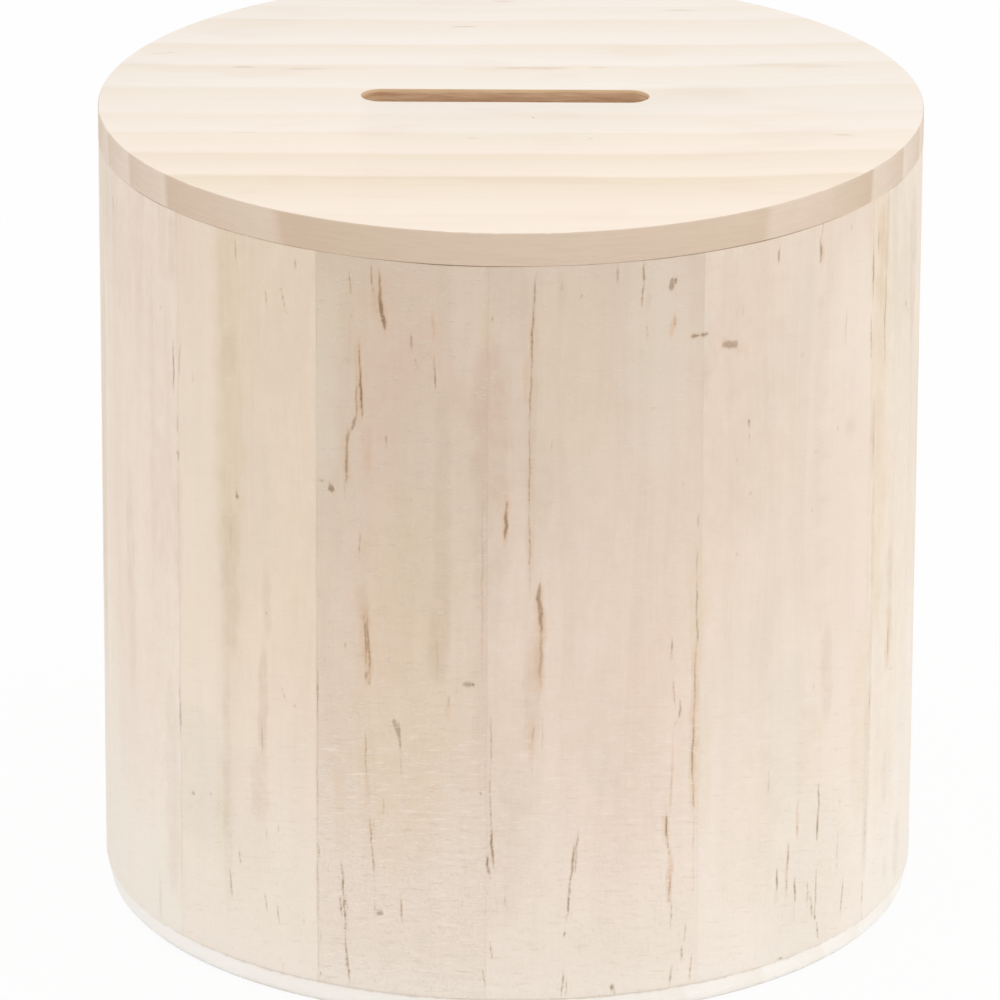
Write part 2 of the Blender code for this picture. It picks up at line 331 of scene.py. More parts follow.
    ("resin", (-2.6, 20.4), (-2.2, 18.6), 0.3, 0.7),
    ("resin", (-3.9, 30.4), (-3.6, 29.2), 0.4, 0.8),
    ("resin", (-2.3, 10.8), (-2.0, 8.2), 0.35, 0.95),
    ("resin", (-3.3, 7.4), (-2.9, 4.4), 0.3, 0.8),
    ("resin", (-1.7, 18.5), (-1.6, 17.6), 0.25, 0.4),
    # The third stave: the dark drop, the long hair and the streak under it
    ("amber", (-0.3, 67.4), (-0.4, 61.8), 0.9, 0.7),
    ("resin", (-0.3, 67.2), (-0.4, 64.0), 0.45, 0.6),
    ("resin", (-0.4, 65.6), (-0.5, 61.9), 0.65, 0.86),
    ("resin", (-1.7, 65.5), (-1.2, 65.0), 0.25, 0.45),
    ("stain", (3.3, 94.0), (2.9, 56.0), 0.8, 0.6),
    ("resin", (3.6, 95.4), (3.2, 90.0), 0.35, 0.7),
    ("resin", (3.2, 91.8), (3.0, 83.0), 0.4, 0.95),
    ("resin", (3.0, 84.5), (2.8, 76.0), 0.35, 0.75),
    ("resin", (2.8, 77.0), (2.8, 64.0), 0.3, 0.75),
    ("resin", (2.8, 66.0), (2.9, 57.2), 0.3, 0.75),
    ("resin", (2.9, 58.0), (3.0, 54.6), 0.2, 0.5),
    ("amber", (2.3, 84.0), (2.2, 79.0), 0.6, 0.6),
    ("resin", (4.2, 56.5), (4.4, 52.0), 0.8, 0.7),
    ("resin", (4.3, 54.0), (4.7, 50.2), 0.7, 0.74),
    ("amber", (4.3, 56.0), (4.4, 43.0), 1.3, 0.75),
    ("resin", (4.5, 51.0), (4.3, 44.0), 0.6, 0.42),
    ("resin", (4.5, 46.0), (4.4, 42.6), 0.35, 0.36),
    ("stain", (3.4, 50.0), (3.2, 34.0), 1.3, 0.75),
    ("amber", (3.5, 38.8), (3.3, 34.0), 0.8, 0.6),
    ("resin", (3.6, 38.6), (3.4, 35.8), 0.35, 0.5),
    ("resin", (3.4, 33.4), (3.3, 31.8), 0.25, 0.35),
    ("resin", (4.7, 40.5), (4.7, 34.5), 0.25, 0.35),
    ("sage", (6.0, 82.0), (6.5, 60.0), 5.0, 0.45),
    ("blush", (4.0, 74.0), (3.5, 40.0), 6.0, 0.55),
    ("blush", (16.0, 66.0), (15.0, 22.0), 11.0, 0.65),
    ("sage", (12.0, 44.0), (13.5, 30.0), 4.0, 0.5),
    ("honey", (8.0, 92.0), (9.0, 74.0), 7.0, 0.4),
    ("pale", (21.0, 98.0), (21.0, 70.0), 5.0, 0.25),
    ("sage", (16.0, 95.0), (18.0, 82.0), 7.0, 0.45),
    ("stain", (4.5, 74.0), (4.6, 64.0), 1.6, 0.4),
    ("stain", (7.1, 96.0), (7.0, 90.0), 0.7, 0.35),
    ("resin", (7.1, 94.0), (7.0, 92.4), 0.3, 0.4),
    ("resin", (5.9, 74.6), (5.7, 72.8), 0.3, 0.35),
    ("resin", (5.4, 66.4), (5.9, 65.9), 0.3, 0.35),
    ("resin", (9.5, 92.3), (9.7, 91.9), 0.4, 0.6),
    ("resin", (7.9, 91.6), (8.1, 91.3), 0.35, 0.5),
    ("resin", (14.6, 95.7), (14.6, 93.2), 0.5, 0.55),
    ("resin", (18.3, 95.8), (18.3, 92.8), 0.4, 0.85),
    ("resin", (18.3, 93.8), (18.0, 90.0), 0.35, 0.8),
    ("stain", (18.9, 92.0), (18.9, 90.0), 0.5, 0.6),
    ("resin", (18.7, 88.4), (18.8, 85.8), 0.3, 0.4),
    ("resin", (18.1, 85.2), (18.1, 83.8), 0.25, 0.4),
    ("resin", (22.35, 92.9), (22.25, 92.1), 1.0, 0.74),
    ("resin", (23.0, 93.2), (22.9, 92.4), 0.6, 0.95),
    ("resin", (22.8, 91.7), (23.0, 91.2), 0.3, 0.6),
    ("amber", (22.7, 88.5), (22.3, 86.0), 0.8, 0.95),
    ("resin", (22.8, 88.5), (22.6, 87.2), 0.4, 0.55),
    ("resin", (22.2, 87.5), (22.1, 86.8), 0.3, 0.45),
    ("resin", (25.2, 85.6), (27.4, 86.1), 0.6, 1.0),
    ("resin", (25.7, 86.2), (28.1, 85.3), 0.5, 0.9),
    ("resin", (19.5, 84.5), (20.0, 84.3), 0.25, 0.3),
    ("resin", (19.4, 77.6), (20.0, 77.4), 0.3, 0.35),
    ("resin", (24.2, 67.3), (24.5, 67.0), 0.35, 0.45),
    ("resin", (19.3, 34.9), (19.7, 34.6), 0.3, 0.4),
    ("resin", (22.9, 48.6), (22.8, 45.0), 0.3, 0.7),
    ("resin", (23.1, 43.4), (23.5, 38.6), 0.3, 0.6),
    ("resin", (24.2, 40.2), (24.4, 38.0), 0.35, 0.8),
    ("resin", (24.3, 38.5), (23.3, 36.5), 0.35, 0.8),
    ("amber", (23.2, 35.5), (22.9, 25.6), 0.4, 0.7),
    ("resin", (23.1, 32.0), (22.9, 26.0), 0.2, 0.35),
    ("resin", (22.3, 25.8), (22.3, 22.2), 0.5, 0.85),
    ("amber", (22.3, 26.0), (22.3, 22.0), 1.0, 0.5),
    ("resin", (22.6, 22.6), (22.8, 20.2), 0.35, 0.85),
    ("amber", (22.9, 20.6), (22.9, 14.2), 0.9, 1.0),
    ("resin", (22.9, 18.6), (22.9, 13.8), 0.4, 0.66),
    ("resin", (23.3, 14.8), (23.0, 10.4), 0.3, 0.6),
    ("honey", (26.7, 60.0), (26.8, 44.0), 1.6, 0.6),
    ("amber", (26.4, 47.0), (26.2, 25.0), 1.1, 0.6),
    ("honey", (27.5, 40.0), (27.7, 22.0), 1.8, 0.5),
    ("resin", (26.7, 63.7), (26.7, 61.2), 0.35, 0.45),
    ("resin", (26.5, 59.4), (26.5, 55.6), 0.35, 0.4),
    ("resin", (26.5, 55.4), (26.5, 50.4), 0.35, 0.62),
    ("resin", (26.5, 51.6), (26.7, 46.2), 0.4, 0.62),
    ("resin", (26.5, 47.0), (26.3, 37.0), 0.32, 0.6),
    ("resin", (26.4, 39.0), (26.2, 33.0), 0.36, 0.68),
    ("resin", (26.3, 37.5), (26.1, 28.6), 0.42, 0.78),
    ("resin", (26.2, 30.0), (26.6, 24.8), 0.35, 0.7),
    ("resin", (26.5, 25.4), (26.4, 19.5), 0.25, 0.4),
    ("resin", (26.5, 18.8), (26.5, 15.0), 0.25, 0.35),
    ("resin", (26.4, 7.0), (26.0, 3.2), 0.3, 0.7),
    ("resin", (25.5, 11.6), (25.2, 8.6), 0.3, 0.5),
    ("resin", (25.0, 8.5), (24.8, 6.1), 0.4, 0.75),
    ("resin", (23.4, 6.2), (23.1, 3.2), 0.35, 0.8),
    ("resin", (9.8, 25.0), (9.2, 21.0), 0.35, 0.8),
    ("resin", (9.2, 23.4), (8.6, 17.0), 0.4, 0.95),
    ("resin", (8.7, 18.6), (8.2, 12.8), 0.35, 0.95),
    ("resin", (9.6, 22.2), (9.3, 19.0), 0.3, 0.75),
    ("resin", (8.0, 11.7), (8.0, 10.9), 0.4, 0.85),
    ("resin", (10.1, 10.4), (10.1, 8.8), 0.3, 0.35),
    ("resin", (7.8, 7.0), (7.6, 3.2), 0.35, 0.8),
    ("resin", (8.3, 5.8), (8.1, 3.2), 0.3, 0.6),
    ("resin", (-0.3, 18.2), (-0.3, 14.6), 0.25, 0.45),
    ("resin", (14.4, 4.5), (15.0, 3.4), 0.7, 0.9),
    ("stain", (-0.6, 30.0), (-0.6, 19.0), 0.5, 0.4),
    # The fourth stave: pinker wood, a few knots near the lid and short streaks near the base
    ("pale", (45.0, 96.0), (45.0, -6.0), 17.0, 0.1),
    ("pale", (56.0, 62.0), (52.0, -4.0), 8.0, 0.4),
    ("stain", (32.5, 100.0), (32.5, 62.0), 8.5, 0.24),
    ("sage", (34.0, 100.0), (34.0, 62.0), 12.0, 0.3),
    ("sage", (45.0, 96.0), (45.0, 30.0), 17.0, 0.3),
    ("pale", (55.0, 92.0), (55.0, 16.0), 7.5, 0.86),
    ("sage", (27.6, 89.5), (27.6, 77.0), 0.9, 0.9),
    ("stain", (27.5, 84.0), (27.6, 77.4), 0.5, 0.5),
    ("resin", (27.9, 85.4), (29.0, 84.9), 0.3, 0.55),
    ("resin", (29.9, 84.25), (31.6, 83.95), 0.95, 0.6),
    ("resin", (30.5, 83.85), (31.9, 83.65), 1.5, 0.68),
    ("resin", (30.5, 83.6), (32.2, 83.1), 0.45, 0.95),
    ("amber", (32.8, 83.2), (34.0, 82.4), 1.4, 0.5),
    ("resin", (31.0, 81.6), (31.8, 81.5), 0.35, 0.4),
    ("resin", (33.0, 88.6), (32.0, 87.0), 0.3, 0.35),
    ("resin", (33.3, 88.5), (33.4, 86.6), 0.3, 0.4),
    ("resin", (35.0, 88.6), (36.2, 87.8), 0.25, 0.35),
    ("resin", (29.2, 90.2), (28.6, 89.9), 0.3, 0.35),
    ("resin", (34.3, 74.2), (34.6, 73.6), 0.5, 0.75),
    ("resin", (34.6, 73.4), (34.6, 70.6), 0.25, 0.4),
    ("resin", (32.4, 70.2), (32.8, 68.6), 0.25, 0.35),
    ("resin", (32.6, 68.6), (34.4, 68.5), 0.25, 0.35),
    ("resin", (34.5, 64.9), (35.0, 64.6), 0.4, 0.6),
    ("resin", (36.0, 71.8), (36.4, 71.4), 0.35, 0.45),
    ("resin", (38.2, 71.5), (38.6, 71.2), 0.35, 0.45),
    ("resin", (41.2, 79.4), (44.6, 80.3), 0.3, 0.5),
    ("resin", (43.6, 80.9), (43.8, 80.3), 0.3, 0.55),
    ("resin", (39.4, 94.8), (39.3, 92.4), 0.45, 0.75),
    ("resin", (47.6, 96.0), (47.5, 94.4), 0.25, 0.6),
    ("resin", (47.1, 94.0), (47.3, 90.9), 0.6, 0.66),
    ("amber", (47.3, 94.0), (47.5, 90.6), 1.0, 0.6),
    ("resin", (46.4, 93.7), (47.0, 93.6), 0.25, 0.5),
    ("resin", (53.6, 94.1), (55.2, 93.4), 0.3, 0.5),
    ("stain", (47.5, 87.0), (47.5, 84.8), 1.0, 0.4),
    ("resin", (53.2, 84.4), (53.0, 78.8), 0.35, 0.3),
    ("resin", (48.1, 68.2), (49.4, 67.5), 0.3, 0.5),
    ("resin", (46.6, 67.4), (48.6, 66.9), 0.3, 0.45),
    ("resin", (51.2, 69.9), (51.8, 68.8), 0.35, 0.6),
    ("stain", (54.6, 69.4), (55.0, 68.0), 1.6, 0.5),
    ("resin", (37.8, 62.0), (42.8, 61.2), 0.25, 0.3),
    ("resin", (46.2, 60.2), (46.6, 59.8), 0.35, 0.4),
    ("resin", (32.4, 57.4), (33.0, 57.2), 0.35, 0.35),
    ("blush", (31.0, 84.0), (30.5, 58.0), 5.0, 0.5),
    ("blush", (37.0, 84.0), (36.0, 64.0), 9.0, 0.4),
    ("blush", (54.5, 76.0), (53.5, 20.0), 6.0, 0.6),
    ("sage", (42.3, 42.0), (42.0, 21.0), 4.6, 0.85),
    ("sage", (46.0, 20.0), (47.0, 5.0), 10.0, 0.6),
    ("honey", (46.5, 34.0), (46.8, 24.0), 3.0, 0.5),
    ("honey", (36.0, 30.0), (35.0, 14.0), 6.0, 0.4),
    ("honey", (58.6, 42.0), (58.4, 18.0), 2.8, 0.7),
    ("stain", (50.0, 44.5), (50.2, 32.0), 1.3, 0.5),
    ("resin", (48.4, 43.0), (49.1, 42.6), 0.3, 0.55),
    ("resin", (48.8, 38.7), (49.2, 38.4), 0.35, 0.6),
    ("resin", (47.0, 37.8), (47.4, 37.2), 0.45, 0.5),
    ("resin", (38.8, 28.6), (38.7, 24.6), 0.3, 0.3),
    ("resin", (48.6, 24.6), (48.8, 20.4), 0.5, 0.55),
    ("resin", (48.7, 21.0), (48.4, 16.7), 0.5, 0.85),
    ("amber", (44.4, 22.8), (44.4, 18.2), 0.6, 0.8),
    ("resin", (44.4, 20.6), (44.4, 18.6), 0.25, 0.6),
    ("amber", (42.6, 18.2), (42.4, 11.0), 0.6, 0.6),
    ("resin", (42.7, 18.2), (42.5, 14.4), 0.35, 0.75),
    ("resin", (42.5, 14.8), (42.3, 11.2), 0.3, 0.55),
    ("resin", (40.6, 15.5), (40.6, 12.3), 0.45, 0.85),
    ("amber", (40.5, 12.4), (40.5, 10.8), 0.7, 0.6),
    ("resin", (44.1, 13.3), (44.2, 10.2), 0.45, 0.95),
    ("resin", (44.0, 10.4), (44.0, 6.6), 0.25, 0.35),
    ("resin", (46.6, 12.2), (46.7, 8.6), 0.35, 0.55),
    ("resin", (47.2, 10.5), (47.7, 6.8), 0.4, 0.7),
    ("resin", (48.5, 13.8), (48.3, 7.4), 0.35, 0.65),
    ("resin", (48.2, 8.0), (48.4, 6.2), 0.4, 0.85),
    ("resin", (48.8, 6.4), (49.1, 3.6), 0.4, 0.8),
    ("resin", (53.3, 17.4), (53.2, 10.8), 0.3, 0.45),
    ("resin", (54.8, 10.6), (54.3, 5.2), 0.4, 0.6),
    ("resin", (52.5, 21.1), (53.9, 20.5), 0.3, 0.75),
    ("resin", (40.0, 3.6), (41.7, 3.2), 0.5, 0.9),
    ("resin", (59.7, 82.0), (59.8, 75.2), 0.35, 0.7),
    ("resin", (60.0, 90.8), (60.05, 82.6), 0.4, 0.85),
    ("pale", (42.6, 50.0), (42.4, 18.0), 4.6, 0.5),
    # The fifth stave: the yellow band beside its joint, and a soft streak
    ("honey", (65.0, 98.0), (65.0, 20.0), 12.0, 0.32),
    ("honey", (62.3, 98.0), (62.6, 66.0), 3.9, 0.9),
    ("amber", (62.6, 93.6), (62.8, 88.4), 2.2, 0.6),
    ("amber", (62.6, 88.0), (62.8, 82.0), 2.6, 0.35),
    ("resin", (61.5, 92.2), (61.5, 88.8), 0.5, 0.5),
    ("stain", (64.6, 96.0), (64.2, 86.0), 0.6, 0.8),
    ("resin", (64.2, 87.0), (64.0, 78.6), 0.45, 0.6),
    ("resin", (64.0, 81.0), (63.9, 78.8), 0.5, 0.6),
    ("resin", (64.0, 79.0), (64.3, 73.6), 0.4, 0.6),
    ("honey", (62.8, 70.0), (63.0, 40.0), 3.0, 0.85),
    ("stain", (60.9, 70.5), (60.9, 61.5), 0.7, 0.8),
    ("resin", (60.9, 66.6), (61.1, 62.6), 0.35, 0.5),
    ("stain", (61.3, 60.0), (61.3, 44.0), 0.6, 0.6),
    ("stain", (61.2, 46.0), (60.6, 8.0), 0.9, 0.7),
    ("resin", (61.2, 34.0), (61.3, 28.6), 0.4, 0.45),
    ("resin", (60.8, 20.0), (60.3, 10.6), 0.35, 0.4),
    ("resin", (60.2, 8.4), (60.2, 5.2), 0.5, 0.55),
    ("stain", (67.4, 50.0), (67.5, 43.6), 1.2, 0.6),
    ("amber", (67.6, 42.0), (67.2, 34.6), 2.0, 0.75),
    ("resin", (67.4, 40.0), (67.1, 35.0), 0.7, 0.35),
    ("resin", (66.6, 34.2), (68.8, 33.4), 0.4, 0.5),
    ("stain", (66.8, 23.0), (66.8, 16.8), 1.2, 0.4),
    ("resin", (72.5, 80.0), (73.6, 78.4), 0.8, 0.35),
    ("stain", (76.6, 93.0), (76.6, 74.0), 2.2, 0.6),
    ("stain", (73.0, 12.0), (72.8, 5.4), 1.8, 0.5),
    ("stain", (67.5, 9.0), (67.5, 6.0), 1.2, 0.4),
    ("sage", (69.0, 95.0), (69.5, 80.0), 7.0, 0.6),
    ("blush", (66.0, 26.0), (66.5, 12.0), 5.0, 0.5),
)

# Guessed marks for a stave that the photograph doesn't show: kind, how many, their least and greatest
# length, and their least and greatest width
GUESSED_MARKS = (
    ("resin", 16, 1.0, 8.0, 0.25, 0.45),
    ("resin", 3, 6.0, 14.0, 0.4, 0.8),
    ("resin", 4, 0.3, 0.9, 0.5, 0.9),
    ("stain", 5, 8.0, 30.0, 0.8, 2.2),
    ("amber", 3, 3.0, 9.0, 0.6, 1.6),
    ("blush", 2, 15.0, 40.0, 4.0, 8.0),
    ("sage", 2, 12.0, 30.0, 3.0, 7.0),
    ("honey", 2, 20.0, 60.0, 1.5, 4.0),
)
GUESSED_EDGE = 1
GUESSED_LEAN = 0.03
GUESSED_STRENGTHS = (0.4, 0.9)

# Growth rings of the lid board: where each ring's late wood ends, in mm from the middle towards the back,
# how dark it is there, and how dark the early wood behind it starts
TOP_RINGS = (
    (-43.0, 0.35, 0.12),
    (-29.3, 0.9, 0.14),
    (-20.6, 0.72, 0.08),
    (-12.6, 0.46, 0.02),
    (-5.6, 0.46, 0.16),
    (4.4, 0.56, 0.14),
    (13.9, 0.52, 0.0),
    (22.2, 0.6, 0.0),
    (32.0, 0.56, 0.05),
    (37.2, 0.4, 0.1),
    (44.0, 0.5, 0.1),
)
EDGE_RINGS = (
    (-41.9, 0.9, 0.56),
    (-28.9, 0.84, 0.36),
    (-20.7, 0.68, 0.24),
    (-12.6, 0.6, 0.24),
    (-5.6, 0.6, 0.25),
    (4.4, 0.7, 0.2),
    (13.9, 0.6, 0.2),
    (22.2, 0.75, 0.2),
    (32.0, 0.7, 0.2),
    (37.2, 0.6, 0.3),
    (44.0, 0.6, 0.3),
)

# How dark the wood is at the front of the top and of the edge
TOP_FRONT = 0.1
EDGE_FRONT = 0.73

# How far in front of a ring's place its dark side ends, and how far behind it the light side starts, in mm
TOP_RING_SIDES = (0.3, 0.6)
EDGE_RING_SIDES = (0.1, 0.16)

# How far the rings move towards the front in each mm down, how far from the middle they are laid out,
# and how quickly they darken
RING_TILT = 0.09
RING_REACH = 52.0
RING_POWER = 1.35

# Small resin marks on the lid's top: where each starts and ends, from the middle, its width and strength
LID_MARKS = (
    ((-8.0, 29.4), (-4.0, 29.6), 0.5, 0.5),
    ((-34.5, 12.6), (-31.0, 12.8), 0.5, 0.55),
    ((-3.0, 12.8), (8.0, 12.9), 0.7, 0.5),
    ((9.0, 13.2), (12.5, 13.2), 0.4, 0.35),
    ((-44.5, 18.0), (-41.0, 18.4), 0.4, 0.45),
    ((-28.5, 12.0), (-22.0, 12.2), 1.0, 0.3),
    ((-5.6, -14.6), (-3.6, -14.8), 0.35, 0.5),
    ((9.4, -14.4), (9.7, -14.8), 0.4, 0.6),
    ((2.6, -6.3), (2.8, -6.9), 0.35, 0.8),
    ((38.6, -12.7), (41.2, -12.9), 0.4, 0.55),
    ((-3.0, 40.0), (1.0, 40.1), 0.4, 0.5),
    ((26.0, 14.4), (42.0, 14.2), 1.8, 0.18),
    ((-34.0, -13.2), (-30.0, -13.0), 0.3, 0.35),
    ((18.0, 36.6), (24.0, 36.8), 0.6, 0.35),
    ((-38.0, 36.8), (-33.0, 36.8), 0.6, 0.35),
)

# How far a mark on the lid spreads, and where its core is full, as shares of its width
MARK_SPREAD = 0.65
MARK_CORE = 0.1


def linear(*levels):
    """A screen colour of 0 to 255 as linear shares."""
    shares = [level / 255 for level in levels]
    return tuple(c / 12.92 if c <= 0.04045 else ((c + 0.055) / 1.055) ** 2.4 for c in shares)


def length(name, description, default):
    return bpy.props.FloatProperty(
        name=name, description=description, default=default, min=0, precision=6, unit="LENGTH"
    )


def share(name, description, default, most=1.0):
    return bpy.props.FloatProperty(
        name=name, description=description, default=default, min=0, max=most, subtype="FACTOR"
    )


def watts(name, description, default):
    return bpy.props.FloatProperty(name=name, description=description, default=default, min=0, unit="POWER")


def colour(name, description, *screen):
    return bpy.props.FloatVectorProperty(
        name=name, description=description, default=linear(*screen), min=0, max=1, size=3, subtype="COLOR"
    )


class MoneyBoxSizes(bpy.types.PropertyGroup):
    """Fine sizes of the turned wood."""

    joint_gap: length("Joint gap", "Width of the line between two glued staves", 0.000004)
    shadow_gap: length("Shadow gap", "Least height of the dark gap under the lid", 0.00001)
    rim_wear: length("Rim wear", "How far the wall's top rim dips where it was sanded most", 0.00011)
    sanding_wave: length("Sanding wave", "Depth of the soft hollows that sanding leaves in the wall", 0.00006)
    pit_depth: length("Pit depth", "Depth of the pits at dark streaks and knots", 0.00014)
    stave_arris: length("Stave arris", "Radius of the staves' sanded top and bottom edges", 0.00014)
    lid_arris: length("Lid arris", "Radius of the lid board's sanded upper edge", 0.00028)
    lid_under_arris: length("Lid under arris", "Radius of the lid board's lower edge", 0.00005)
    slot_arris: length("Slot arris", "Radius of the coin slot's edges", 0.00005)
    disc_arris: length("Locating disc arris", "Radius of the locating disc's lead-in", 0.0008)
    base_arris: length("Base arris", "Radius of the base's foot edge", 0.0012)
    front_step: length("Front mesh step", "Spacing of the mesh on the front staves", 0.000125)
    side_step: length("Side mesh step", "Spacing of the mesh on the staves beside them", 0.0002)
    back_step: length("Back mesh step", "Spacing of the mesh on the other staves", 0.0003)


class MoneyBoxColours(bpy.types.PropertyGroup):
    """Colours of the bare pine and of the marks in it."""

    cream: colour("Cream pine", "Early wood of the cream staves", 242, 229, 214)
    honey: colour("Honey pine", "Early wood of the honey staves", 236, 218, 197)
    pink: colour("Pink pine", "Early wood of the pink staves", 235, 217, 201)
    grey: colour("Grey pine", "Early wood of the grey staves", 229, 210, 192)
    late_wood: colour("Late wood", "Darker bands in the staves", 208, 184, 158)
    resin: colour("Resin", "Dark streaks, hairs and knots", 112, 75, 33)
    ochre: colour("Ochre", "Brown edge of a dark streak", 192, 158, 114)
    stain: colour("Stain", "Soft brown shade round a streak", 182, 148, 118)
    amber: colour("Amber", "Orange wood beside a streak", 208, 156, 106)
    blush: colour("Blush", "Soft pink patches", 222, 188, 170)
    sage: colour("Sage", "Soft patches of greyish green", 206, 201, 182)
    honey_band: colour("Honey band", "Soft yellow bands", 217, 192, 146)
    pale_band: colour("Pale band", "Soft light bands", 246, 234, 220)
    # Painted shade: the wall takes this colour towards the lid
    handled: colour("Painted lid shade", "Wood near the lid, painted darker as shade", 186, 164, 142)
    # Painted light: the wall takes this colour towards the floor
    pale_foot: colour("Painted foot light", "Wood of the wall near the floor", 245, 237, 227)
    lid_front: colour("Lid front", "Early wood at the front of the lid", 249, 234, 219)
    lid_back: colour("Lid back", "Early wood at the back of the lid", 245, 236, 227)
    lid_ring: colour("Lid ring", "Late wood on the lid's top", 234, 218, 192)
    lid_edge: colour("Lid edge", "Early wood on the lid's edge", 234, 218, 203)
    lid_edge_ring: colour("Lid edge ring", "Late wood on the lid's edge", 204, 180, 155)
    slot_wall: colour("Slot wall", "Routed wall of the coin slot", 233, 200, 164)
    slot_scorch: colour("Slot scorch", "Darker scorched wood in the coin slot", 203, 160, 126)
    # Painted light: the top of the slot's wall, where light reaches into the slot
    slot_lip: colour("Slot rim light", "Light wood just inside the coin slot", 242, 214, 172)
    # Painted light: the base's pale wood is painted near white for the light from the floor
    base_edge: colour("Base edge", "Wood of the base", 252, 248, 243)
    base_ring: colour("Base ring", "Darker wood of the base", 245, 238, 228)
    # Painted shadow: a dark line on the base just under the wall
    glue: colour("Painted shadow line", "Line between the wall and the base", 221, 208, 193)
    board: colour("Disc pine", "Early wood of the locating disc", 236, 218, 194)
    board_ring: colour("Disc ring", "Late wood of the locating disc", 206, 176, 138)
    floor: colour("Floor", "The studio's pale floor", 242, 242, 241)


class MoneyBoxStudio(bpy.types.PropertyGroup):
    """The studio's light and camera."""

    sky: share("Sky", "Strength of the even light from all round", 0.74, 2)
    white: share("Background", "How much of the floor is seen as plain white", 0.92)
    right_power: watts("Right lamp", "Power of the lamp on the right", 2.1)
    left_power: watts("Left lamp", "Power of the lamp on the left", 1.1)
    top_power: watts("Top lamp", "Power of the lamp above", 3.9)
    low_power: watts("Low lamp", "Power of the lamp near the floor in front", 1.2)
    floor_size: length("Floor", "Width of the floor", 6.0)
    lens: bpy.props.FloatProperty(
        name="Lens", description="Focal length of the camera", default=336.74, min=1,
        subtype="DISTANCE_CAMERA",
    )


def sizes():
    return bpy.context.scene.money_box_sizes


def colours():
    return bpy.context.scene.money_box_colours


def studio():
    return bpy.context.scene.money_box_studio


def rgba(name):
    """One of the colours, with its alpha."""
    return (*getattr(colours(), name), 1)


# Modelling helpers


def leave_edit_mode():
    if bpy.context.mode != "OBJECT":
        bpy.ops.object.mode_set(mode="OBJECT")


def deselect_all():
    leave_edit_mode()
    bpy.ops.object.select_all(action="DESELECT")


def make_active(item):
    deselect_all()
    item.select_set(True)
    bpy.context.view_layer.objects.active = item


def name_piece(name):
    """Names the object that was just added, and its mesh."""
    piece = bpy.context.object
    piece.name = name
    piece.data.name = name
    return piece


def select_where(piece, test, kind):
    """In edit mode, selects only the edges or only the faces that pass the test."""
    bpy.ops.object.mode_set(mode="EDIT")
    bpy.ops.mesh.select_all(action="DESELECT")
    bpy.ops.mesh.select_mode(type=kind)
    mesh = bmesh.from_edit_mesh(piece.data)
    groups = {"EDGE": mesh.edges, "FACE": mesh.faces}
    for part in groups[kind]:
        if test(part):
            part.select_set(True)
    mesh.select_flush_mode()
    bmesh.update_edit_mesh(piece.data)


def apply_modifier(piece, kind, **settings):
    """Adds one modifier with these settings, and applies it at once."""
    make_active(piece)
    bpy.ops.object.modifier_add(type=kind)
    modifier = piece.modifiers[-1]
    for setting, value in settings.items():
        setattr(modifier, setting, value)
    bpy.ops.object.modifier_apply(modifier=modifier.name)


def finish_piece(piece, node, material, body):
    """Smooth shading, outward faces, and the piece's place in the frame."""
    make_active(piece)
    bpy.ops.object.mode_set(mode="EDIT")
    bpy.ops.mesh.select_all(action="SELECT")
    bpy.ops.mesh.normals_make_consistent(inside=False)
    bpy.ops.object.mode_set(mode="OBJECT")
    bpy.ops.object.shade_smooth_by_angle(angle=SMOOTH_ANGLE)
    piece.data.materials.clear()
    piece.data.materials.append(material)
    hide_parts(node)
    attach(piece, body)


# Materials


